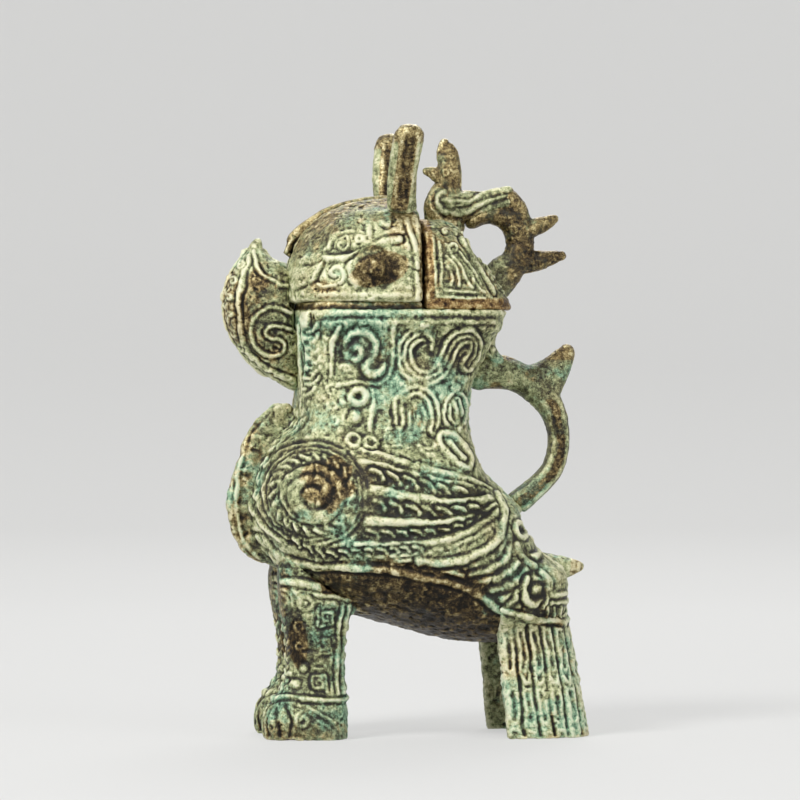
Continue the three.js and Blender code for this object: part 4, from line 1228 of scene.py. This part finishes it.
body_patina = patina("patina_body", pale=0.05)
head_patina = patina("patina_head", pale=0.2, green=-0.1, shift=2.0)
beak_patina = patina("patina_beak", pale=0.07, green=-0.14, brown=0.04, shift=3.0)
leg_patina = patina("patina_legs", pale=-0.05, green=0.05, shift=4.0)
tail_patina = patina("patina_tail", pale=0.13, green=0.04, shift=5.0)
handle_patina = patina("patina_handle", pale=-0.12, green=-0.02, shift=6.0)
lid_patina = patina("patina_lid", brown=0.08, rust=True, green=-0.1, shift=8.0)
worn_patina = patina("patina_worn", green=-0.2, shine=0.16, shift=10.0)


# Pieces


def body_rounds(p):
    """The rim, the flange and the parts that stand off stay crisp, and the rest is smoothed most."""
    x, y, z = np.abs(p[:, 0]), p[:, 1], p[:, 2]
    root = ease(9.0, 6.0, np.hypot(y - 31.0, z - 62.5)) * ease(8.0, 6.0, x)
    flange = ease(4.4, 3.2, x) * ease(-31.0, -34.0, y) * ease(72.0, 76.0, z)
    crisp = most(root, flange, ease(108.0, 112.5, z))
    return np.where(rump_beak(p, 7.0, 39.0, 54.0), 4.0, 48.0 - 41.0 * crisp)


def dome_rounds(p):
    """The low crest and the lower edge stay crisp, and the eyes are rounded most."""
    eye = ease(9.0, 6.0, np.hypot(p[:, 1] - EYE[0], p[:, 2] - EYE[1]))
    crest = ease(2.4, 1.2, np.abs(p[:, 0]))
    return 10.0 + (36.0 * ease(121.0, 125.0, p[:, 2]) + 30.0 * eye) * (1.0 - crest)


def keel(p):
    """The dome of the head rises towards the crest."""
    aside = np.abs(p[:, 0])
    p[:, 2] += 2.3 * ease(10.0, 1.8, aside) * ease(132.0, 138.0, p[:, 2]) * ease(1.4, 2.2, aside)
    return p


def even_crest(p):
    """The crest is cast more evenly than the dome."""
    return 1.0 - 0.75 * ease(2.9, 2.2, np.abs(p[:, 0])) * ease(131.0, 134.0, p[:, 2])


def slim_rump(p):
    """The back slopes more steeply down to the little owl's beak than on the CAD solid."""
    y, z = p[:, 1], p[:, 2]
    p[:, 1] -= 1.3 * ease(20.0, 25.5, y) * ease(111.5, 113.5, z) * ease(117.2, 114.6, z)
    share = ease(24.0, 40.0, y) * ease(48.0, 43.5, y) * ease(45.0, 51.5, z) * ease(68.0, 57.5, z)
    p[:, 1] -= 5.8 * share
    return p


def hollow_back(p):
    """The dragon's hole goes a little way into the back of the lid."""
    far = np.hypot((p[:, 1] - 22.0) / 6.1, (p[:, 2] - 136.0) / 5.4)
    grow = np.where(far < 1.0, 1.0 / np.maximum(far, 0.2), 1.0)
    p[:, 1] = 22.0 + (p[:, 1] - 22.0) * grow
    p[:, 2] = 136.0 + (p[:, 2] - 136.0) * grow
    return p


def lean_back(p):
    """The horn's foot is broader and goes a little forwards, and its tip goes a little back."""
    middle = -2.1 + 0.085 * (p[:, 2] - 146.0)
    wide = np.interp(p[:, 2], [143.0, 150.0, 166.0], [1.42, 1.34, 1.14])
    p[:, 1] = middle + (p[:, 1] - middle) * wide
    p[:, 1] += np.interp(p[:, 2], [143.0, 147.0, 156.0, 168.0], [-0.7, -0.7, -0.1, 0.7])
    return p


# Lumps cast onto the pieces, as rows of (y, z, half height, half width)
HANDLE_FOOT = [
    (24.2, 112, 1.2, 5), (23.2, 109, 1.9, 5.4), (23, 106, 2.4, 5.2), (25.6, 103.4, 2.2, 4.8),
    (28.6, 101.6, 1.8, 4.4),
]
HANDLE_WEB = [
    (24, 98.9, 3.1, 4.2), (30, 98.7, 3.2, 4.3), (34.6, 98.8, 3.8, 4.2), (38.2, 98.8, 4.5, 4),
    (41, 101.2, 3.4, 3.2), (43.6, 104.2, 2.6, 2.5), (45.6, 106.6, 1.8, 1.8),
]
FLANGE = [(-35.6, 90.2, 2, 1.8), (-38.2, 87.6, 2.2, 1.8), (-41.2, 83.6, 2.4, 1.9), (-44, 78.8, 2.2, 1.9)]
HANDLE_ROOT = [(26, 63.4, 3.4, 6), (29, 62.6, 3.2, 5.6), (32.4, 61.8, 2.6, 5)]
RUMP_BEAK = [(40, 47.6, 4.6, 5.4), (44.4, 46.4, 3.3, 3.6), (47, 46.3, 2, 2.2), (49.2, 46.5, 1.1, 1.2)]
BODY_LUMPS = [FLANGE, HANDLE_FOOT, HANDLE_ROOT, RUMP_BEAK]
BEAK_SEAT = [(-33.8, 121, 1.6, 3.8), (-33, 118.8, 1.6, 3.8), (-33.4, 116.8, 1.5, 3.8)]
CREST_FOOT = [(-31.6, 129.6, 1.8, 1.9), (-32.4, 131.8, 1.9, 1.7), (-33.4, 134.2, 1.6, 1.5)]
BIRD_LUMPS = [
    [(8.8, 143, 3.2, 3.4), (8.7, 146.6, 3.4, 3.7), (9.8, 150.2, 3, 3.2)],
    [(11, 160, 2.1, 1.4), (11, 162.6, 1.8, 1.1), (11, 164.2, 1.2, 0.9)],
    [(5.8, 156, 0.9, 0.8), (7.2, 155.7, 1.3, 1.1), (8.8, 155.2, 1.9, 1.4)],
    [(10, 145.4, 3.2, 3.4), (16, 145.2, 3.2, 3.5), (22, 146.6, 3.2, 3.2), (27.6, 148.4, 3, 2.6)],
]
DRAGON_LUMPS = [
    [(24, 127.4, 2.6, 2.8), (26.6, 129.4, 3, 3), (30.2, 131.6, 2.8, 3)],
    [(29.4, 149, 2.2, 2.4), (31.4, 146, 2.6, 2.6), (32.6, 142.8, 2.6, 2.6)],
]

sculpt(
    "vessel_body", body_patina, body_relief, voxel=0.42, rounds=body_rounds, faces=200000,
    lumps=BODY_LUMPS, bend=slim_rump,
)
sculpt(
    "head_front", head_patina, head_relief, voxel=0.33, rounds=dome_rounds, faces=110000,
    lumps=[CREST_FOOT], bend=keel, coarse=even_crest,
)
sculpt(
    "beak", beak_patina, beak_relief, voxel=0.32, rounds=14, faces=70000, lumps=[BEAK_SEAT],
)
for side in ("left", "right"):
    sculpt(
        "horn_" + side, worn_patina, horn_relief, voxel=0.28, rounds=10, faces=24000,
        bend=lean_back, coarse=0.6,
    )
    sculpt(
        "leg_" + side, leg_patina, leg_relief, voxel=0.34, rounds=16, faces=80000,
        extra=thigh,
    )
sculpt(
    "tail", tail_patina, tail_relief, voxel=0.36, rounds=8, faces=110000, extra=tail_root,
)
sculpt(
    "handle", handle_patina, handle_relief, voxel=0.32, rounds=14, faces=50000,
    lumps=[HANDLE_WEB], coarse=0.5,
)
sculpt(
    "lid", lid_patina, lid_relief, voxel=0.32, rounds=dome_rounds, faces=90000, swell=0.02,
    bend=hollow_back,
)
sculpt(
    "lid_bird", worn_patina, bird_relief, voxel=0.26, rounds=6, faces=40000,
    lumps=BIRD_LUMPS, coarse=0.6,
)
sculpt(
    "lid_dragon", worn_patina, dragon_relief, voxel=0.28, rounds=8, faces=40000,
    lumps=DRAGON_LUMPS, coarse=0.55,
)


# Floor, backdrop and light

FLOOR_COLOUR = (0.62, 0.62, 0.61, 1.0)
FLOOR_ROUGHNESS = 0.85
BACKGROUND = (0.86, 0.86, 0.85, 1.0)
BACKGROUND_SHARE = 0.6
FLOOR_PROFILE = [
    (0.0, 0.0), (0.9, 0.0), (1.3, 0.02), (1.6, 0.11), (1.85, 0.32), (1.98, 0.65), (2.0, 1.1), (2.0, 2.2),
]
FLOOR_SIDES = 64
LAMP_AIM = Vector((0.0, 0.0, 0.09))
WORLD_STRENGTH = 0.35


def plain(name, colour, shown):
    """A matt colour, which the camera and reflections see partly as an even pale light."""
    m = Nodes(name)
    shader = m.add("ShaderNodeBsdfPrincipled", {"Base Color": colour, "Roughness": FLOOR_ROUGHNESS})
    glow = m.add("ShaderNodeEmission", {"Color": shown})
    rays = m.add("ShaderNodeLightPath")
    seen = m.math("MAXIMUM", rays.outputs["Is Camera Ray"], rays.outputs["Is Glossy Ray"])
    share = m.math("MULTIPLY", seen, BACKGROUND_SHARE)
    both = m.add("ShaderNodeMixShader", {0: share, 1: shader.outputs["BSDF"], 2: glow.outputs["Emission"]})
    m.add("ShaderNodeOutputMaterial", {"Surface": both.outputs["Shader"]})
    return m.material


def backdrop():
    """A floor that curves up into a wall all round, far out, with the vessel in the middle."""
    points = [(0.0, 0.0, 0.0)]
    faces = []
    for radius, height in FLOOR_PROFILE[1:]:
        for i in range(FLOOR_SIDES):
            angle = 2 * math.pi * i / FLOOR_SIDES
            points.append((radius * math.cos(angle), radius * math.sin(angle), height))
    for i in range(FLOOR_SIDES):
        j = (i + 1) % FLOOR_SIDES
        faces.append((0, 1 + i, 1 + j))
        for k in range(len(FLOOR_PROFILE) - 2):
            a = 1 + k * FLOOR_SIDES
            b = a + FLOOR_SIDES
            faces.append((a + i, b + i, b + j, a + j))
    mesh = bpy.data.meshes.new("studio_floor")
    mesh.from_pydata(points, [], faces)
    mesh.shade_smooth()
    mesh.materials.append(plain("studio_pale", FLOOR_COLOUR, BACKGROUND))
    obj = bpy.data.objects.new("studio_floor", mesh)
    bpy.context.scene.collection.objects.link(obj)


def lamp(name, at, size, power):
    """A round lamp of the given width in metres and power in watts, turned to the vessel."""
    data = bpy.data.lights.new(name, "AREA")
    data.shape = "DISK"
    data.size = size
    data.energy = power
    obj = bpy.data.objects.new(name, data)
    obj.location = at
    obj.rotation_euler = (LAMP_AIM - Vector(at)).to_track_quat("-Z", "Y").to_euler()
    bpy.context.scene.collection.objects.link(obj)


backdrop()
lamp("key", (0.75, -0.75, 1.05), size=0.5, power=16.0)
lamp("fill", (1.0, 0.9, 0.5), size=0.9, power=5.0)
lamp("rear", (-0.9, 0.2, 0.9), size=0.7, power=6.0)

world = bpy.data.worlds.new("studio")
world.use_nodes = True
sky = world.node_tree.nodes["Background"]
sky.inputs["Color"].default_value = (1.0, 1.0, 1.0, 1.0)
sky.inputs["Strength"].default_value = WORLD_STRENGTH
bpy.context.scene.world = world


# Camera, level with the middle of the vessel and almost square to its left side

CAMERA_AZIMUTH = math.radians(83.0)
CAMERA_DISTANCE = 1.25
CAMERA_AIM = Vector((0.0, -0.0014, 0.0928))
LENS_MM = 202.7
SENSOR_MM = 36.0

back = Vector((math.sin(CAMERA_AZIMUTH), -math.cos(CAMERA_AZIMUTH), 0.0))
camera_data = bpy.data.cameras.new("camera")
camera_data.lens = LENS_MM
camera_data.sensor_width = SENSOR_MM
camera = bpy.data.objects.new("camera", camera_data)
camera.location = CAMERA_AIM + back * CAMERA_DISTANCE
camera.rotation_euler = (-back).to_track_quat("-Z", "Y").to_euler()
bpy.context.scene.collection.objects.link(camera)
bpy.context.scene.camera = camera
bpy.context.scene.view_settings.view_transform = "Standard"
